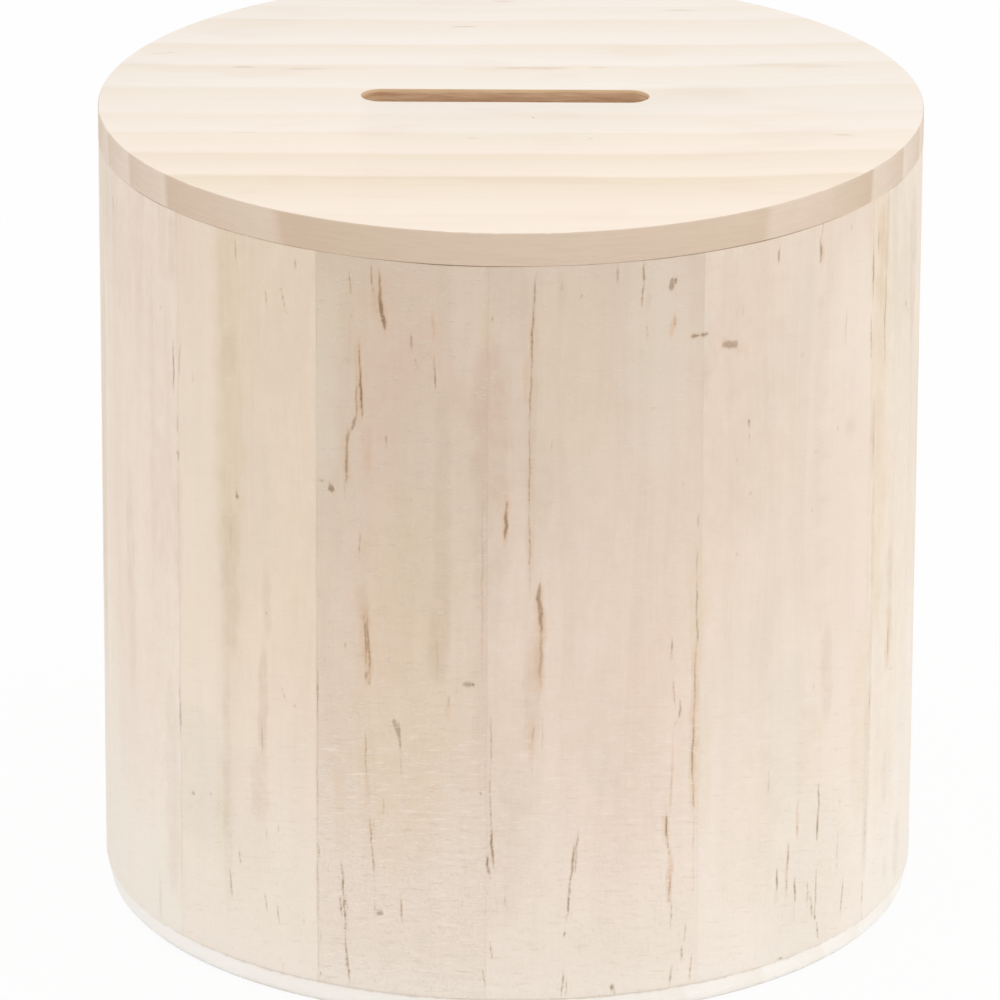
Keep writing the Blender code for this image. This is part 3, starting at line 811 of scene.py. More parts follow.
class Recipe:
    """The nodes of one material. Each method adds a node and gives back its output."""

    def __init__(self, name):
        self.material = bpy.data.materials.new(name)
        self.material.use_nodes = True
        self.tree = self.material.node_tree
        self.shader = self.tree.nodes["Principled BSDF"]

    def node(self, kind, feeds=(), **settings):
        made = self.tree.nodes.new(kind)
        for setting, value in settings.items():
            setattr(made, setting, value)
        for socket, value in feeds:
            self.feed(made.inputs[socket], value)
        return made

    def feed(self, socket, value):
        if isinstance(value, bpy.types.NodeSocket):
            self.tree.links.new(value, socket)
        else:
            socket.default_value = value

    def maths(self, operation, *values):
        return self.node("ShaderNodeMath", enumerate(values), operation=operation).outputs[0]

    def millimetres(self, turn=0):
        """The object's own coordinates in mm, turned about the upright axis."""
        place = self.node("ShaderNodeTexCoord").outputs["Object"]
        feeds = (("Vector", place), ("Rotation", (0, 0, turn)), ("Scale", (MM_PER_METRE,) * 3))
        return self.node("ShaderNodeMapping", feeds).outputs[0]

    def facing_up(self):
        """How far the surface faces up or down: 1 on a flat top, 0 on a wall."""
        normal = self.node("ShaderNodeTexCoord").outputs["Normal"]
        return self.maths("ABSOLUTE", self.split(normal)[2])

    def split(self, vector):
        return self.node("ShaderNodeSeparateXYZ", ((0, vector),)).outputs

    def join(self, x, y, z=0.0):
        return self.node("ShaderNodeCombineXYZ", ((0, x), (1, y), (2, z))).outputs[0]

    def noise(self, vector, detail=1.0, roughness=0.5, dimensions="2D"):
        feeds = (("Vector", vector), ("Scale", 1.0), ("Detail", detail), ("Roughness", roughness))
        return self.node("ShaderNodeTexNoise", feeds, noise_dimensions=dimensions).outputs[0]

    def pattern(self, vector, scale, detail, roughness, row=0, column=0, dimensions="2D"):
        """A noise that is this fine along each axis. Its row and column are where in the noise it starts."""
        feeds = (("Vector", vector), ("Location", (column, row, 0)), ("Scale", scale))
        place = self.node("ShaderNodeMapping", feeds).outputs[0]
        return self.noise(place, detail, roughness, dimensions)

    def remap(self, value, low, high, start=0.0, end=1.0, kind="LINEAR"):
        """Start where the value is low and end where it is high, even in between."""
        feeds = ((0, value), (1, low), (2, high), (3, start), (4, end))
        return self.node("ShaderNodeMapRange", feeds, interpolation_type=kind).outputs[0]

    def grow(self, value, low, high, amount=1.0):
        """Nothing where the value is low and this amount where it is high, with a soft start and end."""
        return self.remap(value, low, high, 0.0, amount, "SMOOTHSTEP")

    def blend(self, factor, first, second):
        feeds = ((0, factor), (6, first), (7, second))
        return self.node("ShaderNodeMix", feeds, data_type="RGBA", clamp_factor=True).outputs[2]

    def tint(self, wood, name, amount):
        """The wood with this much of one of the named colours in it."""
        return self.blend(amount, wood, rgba(name))

    def product(self, *values):
        result = values[0]
        for value in values[1:]:
            result = self.maths("MULTIPLY", result, value)
        return result

    def total(self, *values):
        result = values[0]
        for value in values[1:]:
            result = self.maths("ADD", result, value)
        return result

    def radius(self, x, y):
        feeds = ((0, self.join(x, y)),)
        return self.node("ShaderNodeVectorMath", feeds, operation="LENGTH").outputs["Value"]

    def streak(self, across, along, start, end, width, strength):
        """A long soft-edged oval from start to end, as a mask. It leans by sliding across on its way."""
        start = Vector(start)
        end = Vector(end)
        if abs(end.x - start.x) > abs(end.y - start.y):
            across, along = along, across
            start = start.yx
            end = end.yx
        reach = end.y - start.y
        slide = (end.x - start.x) / reach
        middle = (start + end) / 2
        half_width = width * MARK_SPREAD
        half_length = abs(reach) / 2 + half_width / 2
        shift = (slide * middle.y - middle.x) / half_width
        lean = self.maths("MULTIPLY_ADD", along, -slide / half_width, shift)
        off = self.maths("MULTIPLY_ADD", across, 1 / half_width, lean)
        far = self.maths("MULTIPLY_ADD", along, 1 / half_length, -middle.y / half_length)
        away = self.maths("MULTIPLY_ADD", far, far, self.maths("MULTIPLY", off, off))
        return self.grow(away, 1.0, MARK_CORE * MARK_CORE, strength)

    def strongest(self, across, along, marks):
        """The strongest mark at each place. Each joins the chain at once, which keeps the shader small."""
        result = None
        for mark in marks:
            mask = self.streak(across, along, *mark)
            result = self.maths("MAXIMUM", result, mask) if result else mask
        return result

    def along_grain(self, line, level, radius, across, along, seed):
        """Long fibres up the wall. Where the ends of the fibres show, they become dots."""
        upright = self.maths("MULTIPLY_ADD", level, along, seed)
        return self.join(self.product(line, across), self.maths("MULTIPLY_ADD", radius, across, upright))

    def painted(self, layer):
        """The three kinds of mark that are painted in one layer of the mesh."""
        made = self.node("ShaderNodeAttribute", attribute_name=layer, attribute_type="GEOMETRY")
        return self.split(made.outputs["Vector"])

    def finished(self, wood, roughness, height):
        """The material, with its colour, its roughness and its relief from a height in metres."""
        relief = self.node("ShaderNodeBump", (("Strength", 1.0), ("Distance", 1.0), ("Height", height)))
        self.feed(self.shader.inputs["Base Color"], wood)
        self.feed(self.shader.inputs["Roughness"], roughness)
        self.feed(self.shader.inputs["Normal"], relief.outputs[0])
        return self.material


# Patterns in the wood and the paper: how fine each is along its axes, in waves to the mm, its detail and
# its roughness, and for some the row of the noise where it starts.
# The numbers from 0 to 1 beside a pattern, below, say from where to where in its noise a mark shows.
STAVE_DRIFT = ((0.09, 0.022, 1), 1.0, 0.5)
STAVE_PATCH = ((0.07, 0.04, 1), 1.0, 0.5, 5.0)
STAVE_MOTTLE = ((0.5, 0.3, 1), 4.0, 0.7, 3.0)
STAVE_GRIT = ((2.6, 1.5, 1), 2.0, 0.7, 9.0)
LID_WAVE = ((0.02, 0.035, 0.1), 2.0, 0.5)
LID_FIBRES = ((0.045, 2.0, 1.0), 3.0, 0.6)
LID_CLOUD = ((0.05, 0.12, 1.0), 2.0, 0.5, 0, 4.0)
LID_SHAKE = ((0.5, 1.0, 1), 2.0, 0.5)
LID_TOOL_LINES = ((0.25, 0.25, 5.0), 1.0, 0.6)
SLOT_SCORCH = ((0.16, 0.5, 3.4), 3.0, 0.65)
BOARD_WAVE = ((0.015, 0.04, 0.1), 2.0, 0.5)
BOARD_FIBRES = ((0.05, 2.2, 2.0), 3.0, 0.6)
BOARD_LINES = ((0.12, 0.12, 3.0), 1.0, 0.6, 0, 2.0)
SHADOW_LINE_EDGE = ((0.5, 0.5, 0.0), 3.0, 0.7, 0, 5.0)
PAPER_SPECKLE = ((0.4, 0.4, 0.4), 1.0, 0.5)

# The staves' bands and fibres: how fine they are across and up the wall, and how far they wander, in mm
BAND_FINENESS = (0.3, 0.012)
FIBRE_FINENESS = (2.2, 0.09)
GRAIN_WANDER = 1.6

# How far apart in the noise the staves' patterns are, and how fast they move on where the surface turns in
SEED_STEP = 3.7
INWARD_PACE = 2.0

# Sanding scratches: how they arch, how fine they are across and up the wall, the width of a line in the
# noise, where it is broken, and the levels between which they get closer together
SCRATCH_ARCH = 0.006
SCRATCH_FINENESS = (0.3, 2.0)
SCRATCH_LINE = 0.05
SCRATCH_BREAKS = 0.45
SCRATCH_BREAKS_ROW = 7.0
SCRATCHES_CLOSER = (44.0, 26.0)
SCRATCHES_MORE = 0.12
SCRATCH_LEAN_AT_BACK = 0.12

# Levels in mm above the floor, where a tone of the wall starts to grow and where it is full
# The first two are painted shade towards the lid, the next three painted light towards the floor
LID_SHADE_LEVELS = (34.0, 88.0)
UNDER_LID_SHADE_LEVELS = (86.0, 95.0)
FOOT_LIGHT_LEVELS = (34.0, 2.0)
FOOT_LIGHT_RISE_AT_SIDES = 26.0
LOW_FOOT_LIGHT_LEVELS = (9.0, 3.5)
RUBBED_LEVELS = (50.0, 28.0)
SPECKED_LEVELS = (27.0, 20.0)

# How far each tone takes the colour of a stave's wood
BAND_TONE = 0.13
FIBRE_TONES = (-0.04, 0.07)
PATCH_TONE = 0.12
MOTTLE_TONE = 0.16
# The next three are painted shade towards the lid, the two after them painted light towards the floor
LID_SHADE_TONE = 0.09
FRONT_BACK_SHADE_TONE = 0.29
UNDER_LID_SHADE_TONE = 0.12
FOOT_LIGHT_TONE = 0.4
LOW_FOOT_LIGHT_TONE = 0.38
SOFT_TONES = (0.7, 1.2)
JOINT_TONE = 0.6
JOINT_TONES_ALONG = (0.1, 1.0)
HALO_TONE = 0.4
CORE_TONE = 0.7
SAWN_TONES = (0.06, 0.42)
PORE_TONE = 0.2
SCRATCH_TONES = (0.15, 0.36)
SPOT_TONE = 0.15
RUBBED_TONE = 0.3
DARK_SPECK_TONE = 0.09
PALE_SPECK_TONE = 0.3

# A joint line fades out and is full at these distances from the glued edge, in mm, and it comes and goes
# this often in a mm of its way up. The grit makes the edges of dark streaks this ragged.
JOINT_LINE = (0.26, 0.05)
JOINT_UNEVENNESS = 0.11
STREAK_RAGGEDNESS = 0.34

# Growth rings on a stave's sawn ends: their spacing in mm, how slowly each darkens, and the share of it
# from which it ends
END_RING_SPACING = 2.6
END_RING_SHAPE = (1.8, 0.88)

# Where the heart of the log lies from a stave's middle, in mm: at least this deep, with the places across
# this far apart. The steps deal the places and the depths out from stave to stave.
PITH_DEPTH = 30.0
PITH_SPACING = 2.5
PITH_STEPS = (5, 3)
PITH_DEPTHS = 8

# How far a surface faces up where it begins to count as a wall or as a sawn end, and where it fully does
WALL_FACING = (0.85, 0.45)
SAWN_FACING = (0.7, 0.9)

# Roughness, and relief in metres
STAVE_ROUGHNESS = (0.62, 0.72)
RESIN_SHINE = -0.18
BOARD_ROUGHNESS = (0.58, 0.7)
SCRATCH_RELIEF = 0.000014
FIBRE_RELIEF = 0.00005
LID_FIBRE_RELIEF = 0.00004
LID_RING_RELIEF = 0.00002
TOOL_LINE_RELIEF = 0.00005

# The lid's rings: how far they wave, and from where to where along x, in mm, they move and by how much
LID_RING_WAVE = 1.5
LID_RING_MOVE = (18.0, 50.0, -2.6)
EDGE_RING_MOVE = (16.0, 31.0, -1.3)

# From where to where along x or y, in mm, the lid's rings and fibres change their strength, and how far
TOP_RINGS_ALONG_X = (14.0, 44.0, 1.0, 0.8)
EDGE_RINGS_ALONG_X = (-30.0, 30.0, 1.1, 0.92)
EDGE_RINGS_AT_RIGHT = (34.0, 43.0, 1.0, 1.3)
FIBRES_ALONG_Y = (8.0, 45.0, 1.0, 0.6)
LID_FRONT_TO_BACK = (-30.0, 6.0)

# The other tones of the lid, how far its marks shake, and where inside it the routed slot lies, in mm
LID_DEPTH_PACE = 0.6
LID_FIBRE_TONES = (-0.07, 0.08)
LID_BLUSH_TONE = 0.1
LID_MARK_TONE = 0.6
LID_MARK_SHAKE = 0.3
EDGE_BLUSH_TONE = 0.15
EDGE_LINE_TONE = 0.1
SLOT_ZONE = (40.0, 34.0)
# Painted light along the top of the slot's wall: from which depth to which, in mm, and how far
SLOT_RIM_LIGHT_DEPTHS = (0.55, 0.2)
SLOT_RIM_LIGHT_TONE = 0.75

# The base and the locating disc, in mm: the shape of their rings, how far these wave and lean, how strong
# rings, fibres and lines are, where the painted light at the edge's left end fades, and the painted shadow
# line under the wall
BOARD_RING_SHAPE = (2.2, 0.94)
BOARD_RING_WAVE = 5.0
BOARD_RING_LEAN = 0.3
BOARD_RING_TONE = 0.8
BOARD_FIBRE_TONES = (-0.1, 0.2)
BOARD_LINE_TONE = 0.4
BOARD_EDGE_REACH = (-30.0, 30.0)
SHADOW_LINE_WAVE = (-0.22, 0.12)
SHADOW_LINE_DEPTHS = (-0.5, -0.2)
SHADOW_LINE_TONE = 0.7

# The spacing of the base's and the disc's rings in mm, how far the boards are turned, and how far painted
# light makes the left end of the base's edge pale
BASE_RING_SPACING = 9.0
BASE_GRAIN_TURN = 0.3
BASE_PAINTED_LIGHT_LEFT = 0.93
DISC_RING_SPACING = 7.0
DISC_GRAIN_TURN = 0.1


def growth_rings(recipe, distance, spacing, power, sharp):
    """Even growth rings, 0 to 1: each darkens slowly by this power, and ends sharply from this share on."""
    rings = recipe.maths("FRACT", recipe.product(distance, 1 / spacing))
    return recipe.product(recipe.maths("POWER", rings, power), recipe.remap(rings, 1.0, sharp))


def sanding_scratches(recipe, around, level, lean):
    """Short curved scratches left by sanding, 0 to 1: thin contour lines of a noise, broken into dashes.

    They are closer together near the floor. The other values mark the dark and the light spots between them.
    """
    across, upwards = SCRATCH_FINENESS
    arched = recipe.maths("MULTIPLY_ADD", recipe.maths("MULTIPLY", around, around), SCRATCH_ARCH / 2, level)
    leaning = recipe.maths("MULTIPLY_ADD", around, lean, arched)
    place = recipe.join(recipe.product(around, across), recipe.product(leaning, upwards))
    swirl = recipe.noise(place, 3.0, 0.6)
    from_line = recipe.maths("ABSOLUTE", recipe.maths("SUBTRACT", swirl, 0.5))
    line = recipe.remap(from_line, SCRATCH_LINE, 0.0)
    dashes = recipe.product(around, SCRATCH_BREAKS)
    breaks = recipe.noise(recipe.join(dashes, recipe.maths("ADD", leaning, SCRATCH_BREAKS_ROW)))
    more = recipe.remap(level, *SCRATCHES_CLOSER, 0.0, SCRATCHES_MORE)
    scratches = recipe.product(line, recipe.remap(recipe.total(breaks, more), 0.5, 0.64))
    spots = recipe.product(recipe.grow(swirl, 0.62, 0.76), recipe.remap(more, 0.0, SCRATCHES_MORE, 0.4, 1.0))
    rubbed = recipe.grow(swirl, 0.42, 0.26)
    return scratches, spots, rubbed


def end_grain(recipe, around, radius, number):
    """Curved growth rings where a stave is sawn across, 0 to 1, each stave from its own place in the log."""
    sideways, inwards = PITH_STEPS
    pith_around = (number * sideways % len(STAVES) - len(STAVES) // 2) * PITH_SPACING
    pith_radius = OUTSIDE_MM - PITH_DEPTH - number * inwards % PITH_DEPTHS
    away = recipe.radius(recipe.total(around, -pith_around), recipe.total(radius, -pith_radius))
    return growth_rings(recipe, away, END_RING_SPACING, *END_RING_SHAPE)


def stave_reach(node):
    """A stave's start and end, as angles in radians from the front towards the right."""
    corners = [vertex.co for vertex in frame["nodes"][node].data.vertices]
    middle = math.atan2(sum(c.x for c in corners), -sum(c.y for c in corners))
    turns = [math.remainder(math.atan2(c.x, -c.y) - middle, math.tau) for c in corners]
    return middle + min(turns), middle + max(turns)


def stave_bore():
    """The radius of the wall's bore."""
    return min(vertex.co.xy.length for vertex in frame["nodes"][STAVES[0]].data.vertices)


def guessed_marks(number, start, end):
    """Marks like the photographed ones for a stave that the photograph doesn't show, angles in degrees."""
    chance = random.Random(number)
    foot = WALL_FOOT * MM_PER_METRE
    head = LID_LOW.z * MM_PER_METRE
    marks = []
    for kind, count, shortest, longest, thin, wide in GUESSED_MARKS:
        for _ in range(count):
            angle = chance.uniform(start + GUESSED_EDGE, end - GUESSED_EDGE)
            reach = chance.uniform(shortest, longest)
            top = chance.uniform(foot + reach, head)
            lean = chance.uniform(-GUESSED_LEAN, GUESSED_LEAN) * reach
            width = chance.uniform(thin, wide)
            strength = chance.uniform(*GUESSED_STRENGTHS)
            marks.append((kind, (angle, top), (angle + lean, top - reach), width, strength))
    return marks


def marks_between(number, start, end):
    """The marks that touch this stave, angles in degrees."""
    first = start - MARK_OVER_JOINT
    last = end + MARK_OVER_JOINT
    marks = [mark for mark in WALL_MARKS if first < (mark[1][0] + mark[2][0]) / 2 < last]
    if end < PHOTOGRAPHED_FROM or start > PHOTOGRAPHED_TO:
        marks += guessed_marks(number, start, end)
    return marks


def on_the_flat(mark, middle):
    """A mark with its angles turned into mm along the wall from the stave's middle."""
    kind, start, end, width, strength = mark
    per_degree = OUTSIDE_MM * math.radians(1)
    start = ((start[0] - middle) * per_degree, start[1])
    end = ((end[0] - middle) * per_degree, end[1])
    return kind, start, end, width, strength


def stave_pine(number, node, start, end):
    """Sanded pine of one stave: soft bands, fibres, patches, streaks, joint lines and sanding scratches."""
    recipe = Recipe(f"{node}_pine")
    middle = (start + end) / 2
    x, y, level = recipe.split(recipe.millimetres(-middle))
    around = recipe.product(recipe.maths("ARCTAN2", x, recipe.maths("MULTIPLY", y, -1.0)), OUTSIDE_MM)
    radius = recipe.radius(x, y)
    seed = number * SEED_STEP
    flat = recipe.join(around, recipe.total(level, recipe.product(radius, INWARD_PACE)))

    # Bands of late wood and finer fibres, which wander a little as they go up
    drift = recipe.pattern(flat, *STAVE_DRIFT, column=seed)
    grain_line = recipe.total(around, recipe.remap(drift, 0.0, 1.0, -GRAIN_WANDER, GRAIN_WANDER))
    bands = recipe.noise(recipe.along_grain(grain_line, level, radius, *BAND_FINENESS, seed), 2.0)
    bands = recipe.grow(bands, 0.42, 0.68, BAND_TONE)
    fibres = recipe.noise(recipe.along_grain(grain_line, level, radius, *FIBRE_FINENESS, seed), 3.0, 0.65)
    fibres = recipe.remap(fibres, 0.35, 0.7, *FIBRE_TONES)
    shade = SLOTS[node].rsplit("_", 1)[1]
    wood = recipe.tint(rgba(shade), "late_wood", recipe.total(bands, fibres))

    # Wide soft patches of tone, and a fine mottle
    patch = recipe.pattern(flat, *STAVE_PATCH, column=seed)
    wood = recipe.tint(wood, "blush", recipe.grow(patch, 0.5, 0.75, PATCH_TONE))
    wood = recipe.tint(wood, "sage", recipe.grow(patch, 0.5, 0.25, PATCH_TONE))
    mottle = recipe.pattern(flat, *STAVE_MOTTLE, column=seed)
    wood = recipe.tint(wood, "late_wood", recipe.remap(mottle, 0.3, 0.75, 0.0, MOTTLE_TONE))
    grit = recipe.pattern(flat, *STAVE_GRIT, column=seed)

    # Painted shade: darker towards the lid, most at the front and the back and most just under the lid.
    # Painted light: lighter towards the floor, most at the sides
    front_back_shade = max(0.0, math.cos(2 * middle))
    sideways = abs(math.sin(middle))
    handled = recipe.grow(level, *LID_SHADE_LEVELS, LID_SHADE_TONE + FRONT_BACK_SHADE_TONE * front_back_shade)
    wood = recipe.tint(wood, "handled", handled)
    wood = recipe.tint(wood, "handled", recipe.grow(level, *UNDER_LID_SHADE_LEVELS, UNDER_LID_SHADE_TONE * front_back_shade))
    lit_start, lit_end = FOOT_LIGHT_LEVELS
    lit_start += FOOT_LIGHT_RISE_AT_SIDES * sideways
    lit_foot = recipe.grow(level, lit_start, lit_end, FOOT_LIGHT_TONE + FOOT_LIGHT_TONE * sideways)
    wood = recipe.tint(wood, "pale_foot", lit_foot)
    wood = recipe.tint(wood, "pale_foot", recipe.grow(level, *LOW_FOOT_LIGHT_LEVELS, LOW_FOOT_LIGHT_TONE))

    # The soft marks, each kind in its own colour
    near, strength, amber = recipe.painted("streaks")
    stain, honey, pale = recipe.painted("stains")
    blush, sage, _ = recipe.painted("patches")
    masks = {"pale": pale, "blush": blush, "sage": sage, "honey": honey, "stain": stain, "amber": amber}
    soft = recipe.remap(mottle, 0.3, 0.7, *SOFT_TONES)
    for kind, mask in masks.items():
        name = f"{kind}_band" if kind in ("honey", "pale") else kind
        wood = recipe.tint(wood, name, recipe.product(mask, soft, SOFT_MARKS[kind][2]))

    # Joint lines at the stave's two glued edges
    half = (end - start) / 2 * OUTSIDE_MM
    uneven = recipe.noise(recipe.join(seed, recipe.product(level, JOINT_UNEVENNESS)), 2.0)
    uneven = recipe.remap(uneven, 0.4, 0.65, *JOINT_TONES_ALONG)
    left = recipe.remap(recipe.maths("ABSOLUTE", recipe.total(around, half)), *JOINT_LINE)
    right = recipe.remap(recipe.maths("ABSOLUTE", recipe.total(around, -half)), *JOINT_LINE)
    left = recipe.product(left, JOINT_DARKNESS[number - 1])
    right = recipe.product(right, JOINT_DARKNESS[number % len(JOINT_DARKNESS)])
    joints = recipe.product(recipe.maths("MAXIMUM", left, right), uneven)
    wood = recipe.tint(wood, "stain", recipe.product(joints, JOINT_TONE))

    # Dark streaks: an ochre edge, and a crisp core that the grit breaks up
    ragged = recipe.maths("MULTIPLY_ADD", recipe.maths("SUBTRACT", grit, 0.5), STREAK_RAGGEDNESS, near)
    halo = recipe.grow(ragged, 0.28, 0.62, HALO_TONE)
    wood = recipe.tint(wood, "ochre", recipe.product(halo, strength))
    core = recipe.product(recipe.grow(ragged, 0.48, 0.76), strength)
    wood = recipe.tint(wood, "resin", recipe.product(core, CORE_TONE))

    # Growth rings and darker wood on the sawn ends
    sawn = recipe.grow(recipe.facing_up(), *SAWN_FACING)
    rings = recipe.remap(end_grain(recipe, around, radius, number), 0.0, 1.0, *SAWN_TONES)
    wood = recipe.tint(wood, "stain", recipe.product(rings, sawn))

    # Pores and sanding marks
    wood = recipe.tint(wood, "stain", recipe.grow(grit, 0.7, 0.84, PORE_TONE))
    in_view = abs(math.degrees(middle)) < PHOTOGRAPHED_TO
    lean = SCRATCH_ARCH * middle * OUTSIDE_MM if in_view else SCRATCH_LEAN_AT_BACK
    scratches, spots, rubbed = sanding_scratches(recipe, around, level, lean)
    sanded = STAVE_SANDING[number - 1]
    low = recipe.grow(level, *RUBBED_LEVELS)
    scratched = recipe.remap(low, 0.0, 1.0, *(tone * sanded for tone in SCRATCH_TONES))
    wood = recipe.tint(wood, "pale_band", recipe.product(scratches, scratched))
    wood = recipe.tint(wood, "stain", recipe.product(spots, SPOT_TONE * sanded))
    wood = recipe.tint(wood, "pale_band", recipe.product(rubbed, low, RUBBED_TONE * sanded))
    specked = recipe.product(recipe.remap(level, *SPECKED_LEVELS), recipe.remap(mottle, 0.4, 0.6), sanded)
    dark_specks = recipe.remap(grit, 0.52, 0.76, 0.0, DARK_SPECK_TONE)
    wood = recipe.tint(wood, "stain", recipe.product(dark_specks, specked))
    pale_specks = recipe.remap(grit, 0.48, 0.26, 0.0, PALE_SPECK_TONE)
    wood = recipe.tint(wood, "pale_band", recipe.product(pale_specks, specked))

    fibrous = recipe.remap(fibres, -0.1, 0.2, *STAVE_ROUGHNESS)
    roughness = recipe.total(fibrous, recipe.product(core, RESIN_SHINE))
    scratch_height = recipe.product(scratches, SCRATCH_RELIEF * sanded)
    height = recipe.total(scratch_height, recipe.product(fibres, FIBRE_RELIEF))
    return recipe.finished(wood, roughness, height)


def ring_tone(recipe, ring, rings, front, sides):
    """Darkness of the growth rings: it grows slowly towards the back and ends sharply."""
    ramp = recipe.node("ShaderNodeValToRGB", ((0, recipe.remap(ring, -RING_REACH, RING_REACH)),))
    stops = ramp.color_ramp.elements
    stops.remove(stops[1])
    stops[0].position = 0
    stops[0].color = (front, front, front, 1)
    before, after = sides
    for place, dark, light in rings:
        for shift, level in ((-before, dark), (after, light)):
            stop = stops.new((place + shift + RING_REACH) / (2 * RING_REACH))
            stop.color = (level, level, level, 1)
    return recipe.maths("POWER", ramp.outputs[0], RING_POWER)


def lid_pine():
    """The lid's one board: straight growth rings, a darker turned edge, and the scorched slot."""
    recipe = Recipe("lid_board_pine")
    x, y, level = recipe.split(recipe.millimetres())
    radius = recipe.radius(x, y)
    flat = recipe.join(x, y, recipe.product(level, LID_DEPTH_PACE))

    wave = recipe.pattern(flat, *LID_WAVE)
    move = recipe.grow(x, *LID_RING_MOVE)
    depth = recipe.maths("SUBTRACT", LID_TOP_MM, level)
    wave = recipe.remap(wave, 0.0, 1.0, -LID_RING_WAVE, LID_RING_WAVE)
    ring = recipe.total(y, wave, move, recipe.product(depth, RING_TILT))
    top_rings = ring_tone(recipe, ring, TOP_RINGS, TOP_FRONT, TOP_RING_SIDES)
    edge_ring = recipe.total(ring, recipe.grow(x, *EDGE_RING_MOVE))
    edge_rings = ring_tone(recipe, edge_ring, EDGE_RINGS, EDGE_FRONT, EDGE_RING_SIDES)
    edge_rings = recipe.product(edge_rings, recipe.remap(x, *EDGE_RINGS_ALONG_X))
    edge_rings = recipe.product(edge_rings, recipe.remap(x, *EDGE_RINGS_AT_RIGHT))
    top_rings = recipe.product(top_rings, recipe.remap(x, *TOP_RINGS_ALONG_X))

    # The flat top
    wood = recipe.tint(rgba("lid_front"), "lid_back", recipe.grow(y, *LID_FRONT_TO_BACK))
    fibres = recipe.pattern(recipe.join(x, ring), *LID_FIBRES)
    fibre_tone = recipe.remap(fibres, 0.3, 0.7, *LID_FIBRE_TONES)
    fibre_tone = recipe.product(fibre_tone, recipe.remap(y, *FIBRES_ALONG_Y))
    wood = recipe.tint(wood, "lid_ring", recipe.total(top_rings, fibre_tone))
    cloud = recipe.pattern(flat, *LID_CLOUD)
    wood = recipe.tint(wood, "blush", recipe.grow(cloud, 0.55, 0.75, LID_BLUSH_TONE))
    shake = recipe.pattern(flat, *LID_SHAKE)
    shaken = recipe.total(y, recipe.remap(shake, 0.0, 1.0, -LID_MARK_SHAKE, LID_MARK_SHAKE))
    mark = recipe.strongest(x, shaken, LID_MARKS)
    wood = recipe.tint(wood, "stain", recipe.product(mark, LID_MARK_TONE))

    # The turned edge
    steep = recipe.grow(recipe.facing_up(), *WALL_FACING)
    turned = recipe.tint(rgba("lid_edge"), "lid_edge_ring", edge_rings)
    turned = recipe.tint(turned, "blush", recipe.grow(cloud, 0.5, 0.7, EDGE_BLUSH_TONE))
    tool_lines = recipe.pattern(flat, *LID_TOOL_LINES, dimensions="3D")
    turned = recipe.tint(turned, "stain", recipe.remap(tool_lines, 0.35, 0.7, 0.0, EDGE_LINE_TONE))
    wood = recipe.blend(steep, wood, turned)

    # The routed walls of the coin slot, with painted light along their top, which leaves the wall below
    # darker as in shade
    inside = recipe.product(steep, recipe.remap(radius, *SLOT_ZONE))
    scorch = recipe.pattern(flat, *SLOT_SCORCH, dimensions="3D")
    routed = recipe.tint(rgba("slot_wall"), "slot_scorch", recipe.remap(scorch, 0.35, 0.66))
    routed = recipe.tint(routed, "slot_lip", recipe.grow(depth, *SLOT_RIM_LIGHT_DEPTHS, SLOT_RIM_LIGHT_TONE))
    wood = recipe.blend(inside, wood, routed)

    roughness = recipe.remap(fibres, 0.3, 0.7, *BOARD_ROUGHNESS)
    height = recipe.total(
        recipe.product(fibres, LID_FIBRE_RELIEF),
        recipe.product(top_rings, LID_RING_RELIEF),
        recipe.product(tool_lines, steep, TOOL_LINE_RELIEF),
    )
    return recipe.finished(wood, roughness, height)


def plain_board(name, early, late, spacing, turn, painted_light_left, shadow_line_level=None):
    """Sanded pine board with even growth rings, for the base and the locating disc."""
    recipe = Recipe(name)
    x, y, level = recipe.split(recipe.millimetres(turn))
    flat = recipe.join(x, y, level)
    wave = recipe.remap(recipe.pattern(flat, *BOARD_WAVE), 0.0, 1.0, -BOARD_RING_WAVE, BOARD_RING_WAVE)
    ring = recipe.total(y, wave, recipe.product(level, BOARD_RING_LEAN))
    rings = growth_rings(recipe, ring, spacing, *BOARD_RING_SHAPE)
    fibres = recipe.pattern(flat, *BOARD_FIBRES, dimensions="3D")
    ring_share = recipe.product(rings, BOARD_RING_TONE)
    tone = recipe.total(ring_share, recipe.remap(fibres, 0.3, 0.7, *BOARD_FIBRE_TONES))
    wood = recipe.tint(rgba(early), late, tone)

    # The turned edge, lighter at its left end with painted light, and a painted shadow line just under the
    # wall
    steep = recipe.grow(recipe.facing_up(), *WALL_FACING)
    lines = recipe.pattern(flat, *BOARD_LINES, dimensions="3D")
    edge = recipe.tint(wood, late, recipe.remap(lines, 0.4, 0.7, 0.0, BOARD_LINE_TONE))
    edge = recipe.tint(edge, early, recipe.remap(x, *BOARD_EDGE_REACH, painted_light_left, 0.0))
    if shadow_line_level is not None:
        uneven = recipe.pattern(flat, *SHADOW_LINE_EDGE, dimensions="3D")
        near_wall = recipe.total(level, recipe.remap(uneven, 0.3, 0.7, *SHADOW_LINE_WAVE))
        below, full = SHADOW_LINE_DEPTHS
        line = recipe.grow(near_wall, shadow_line_level + below, shadow_line_level + full, SHADOW_LINE_TONE)
        edge = recipe.tint(edge, "glue", line)
    wood = recipe.blend(steep, wood, edge)

    roughness = recipe.remap(fibres, 0.3, 0.7, *BOARD_ROUGHNESS)
    fibre_height = recipe.product(fibres, FIBRE_RELIEF)
    height = recipe.total(fibre_height, recipe.product(lines, steep, TOOL_LINE_RELIEF))
    return recipe.finished(wood, roughness, height)


# The wall


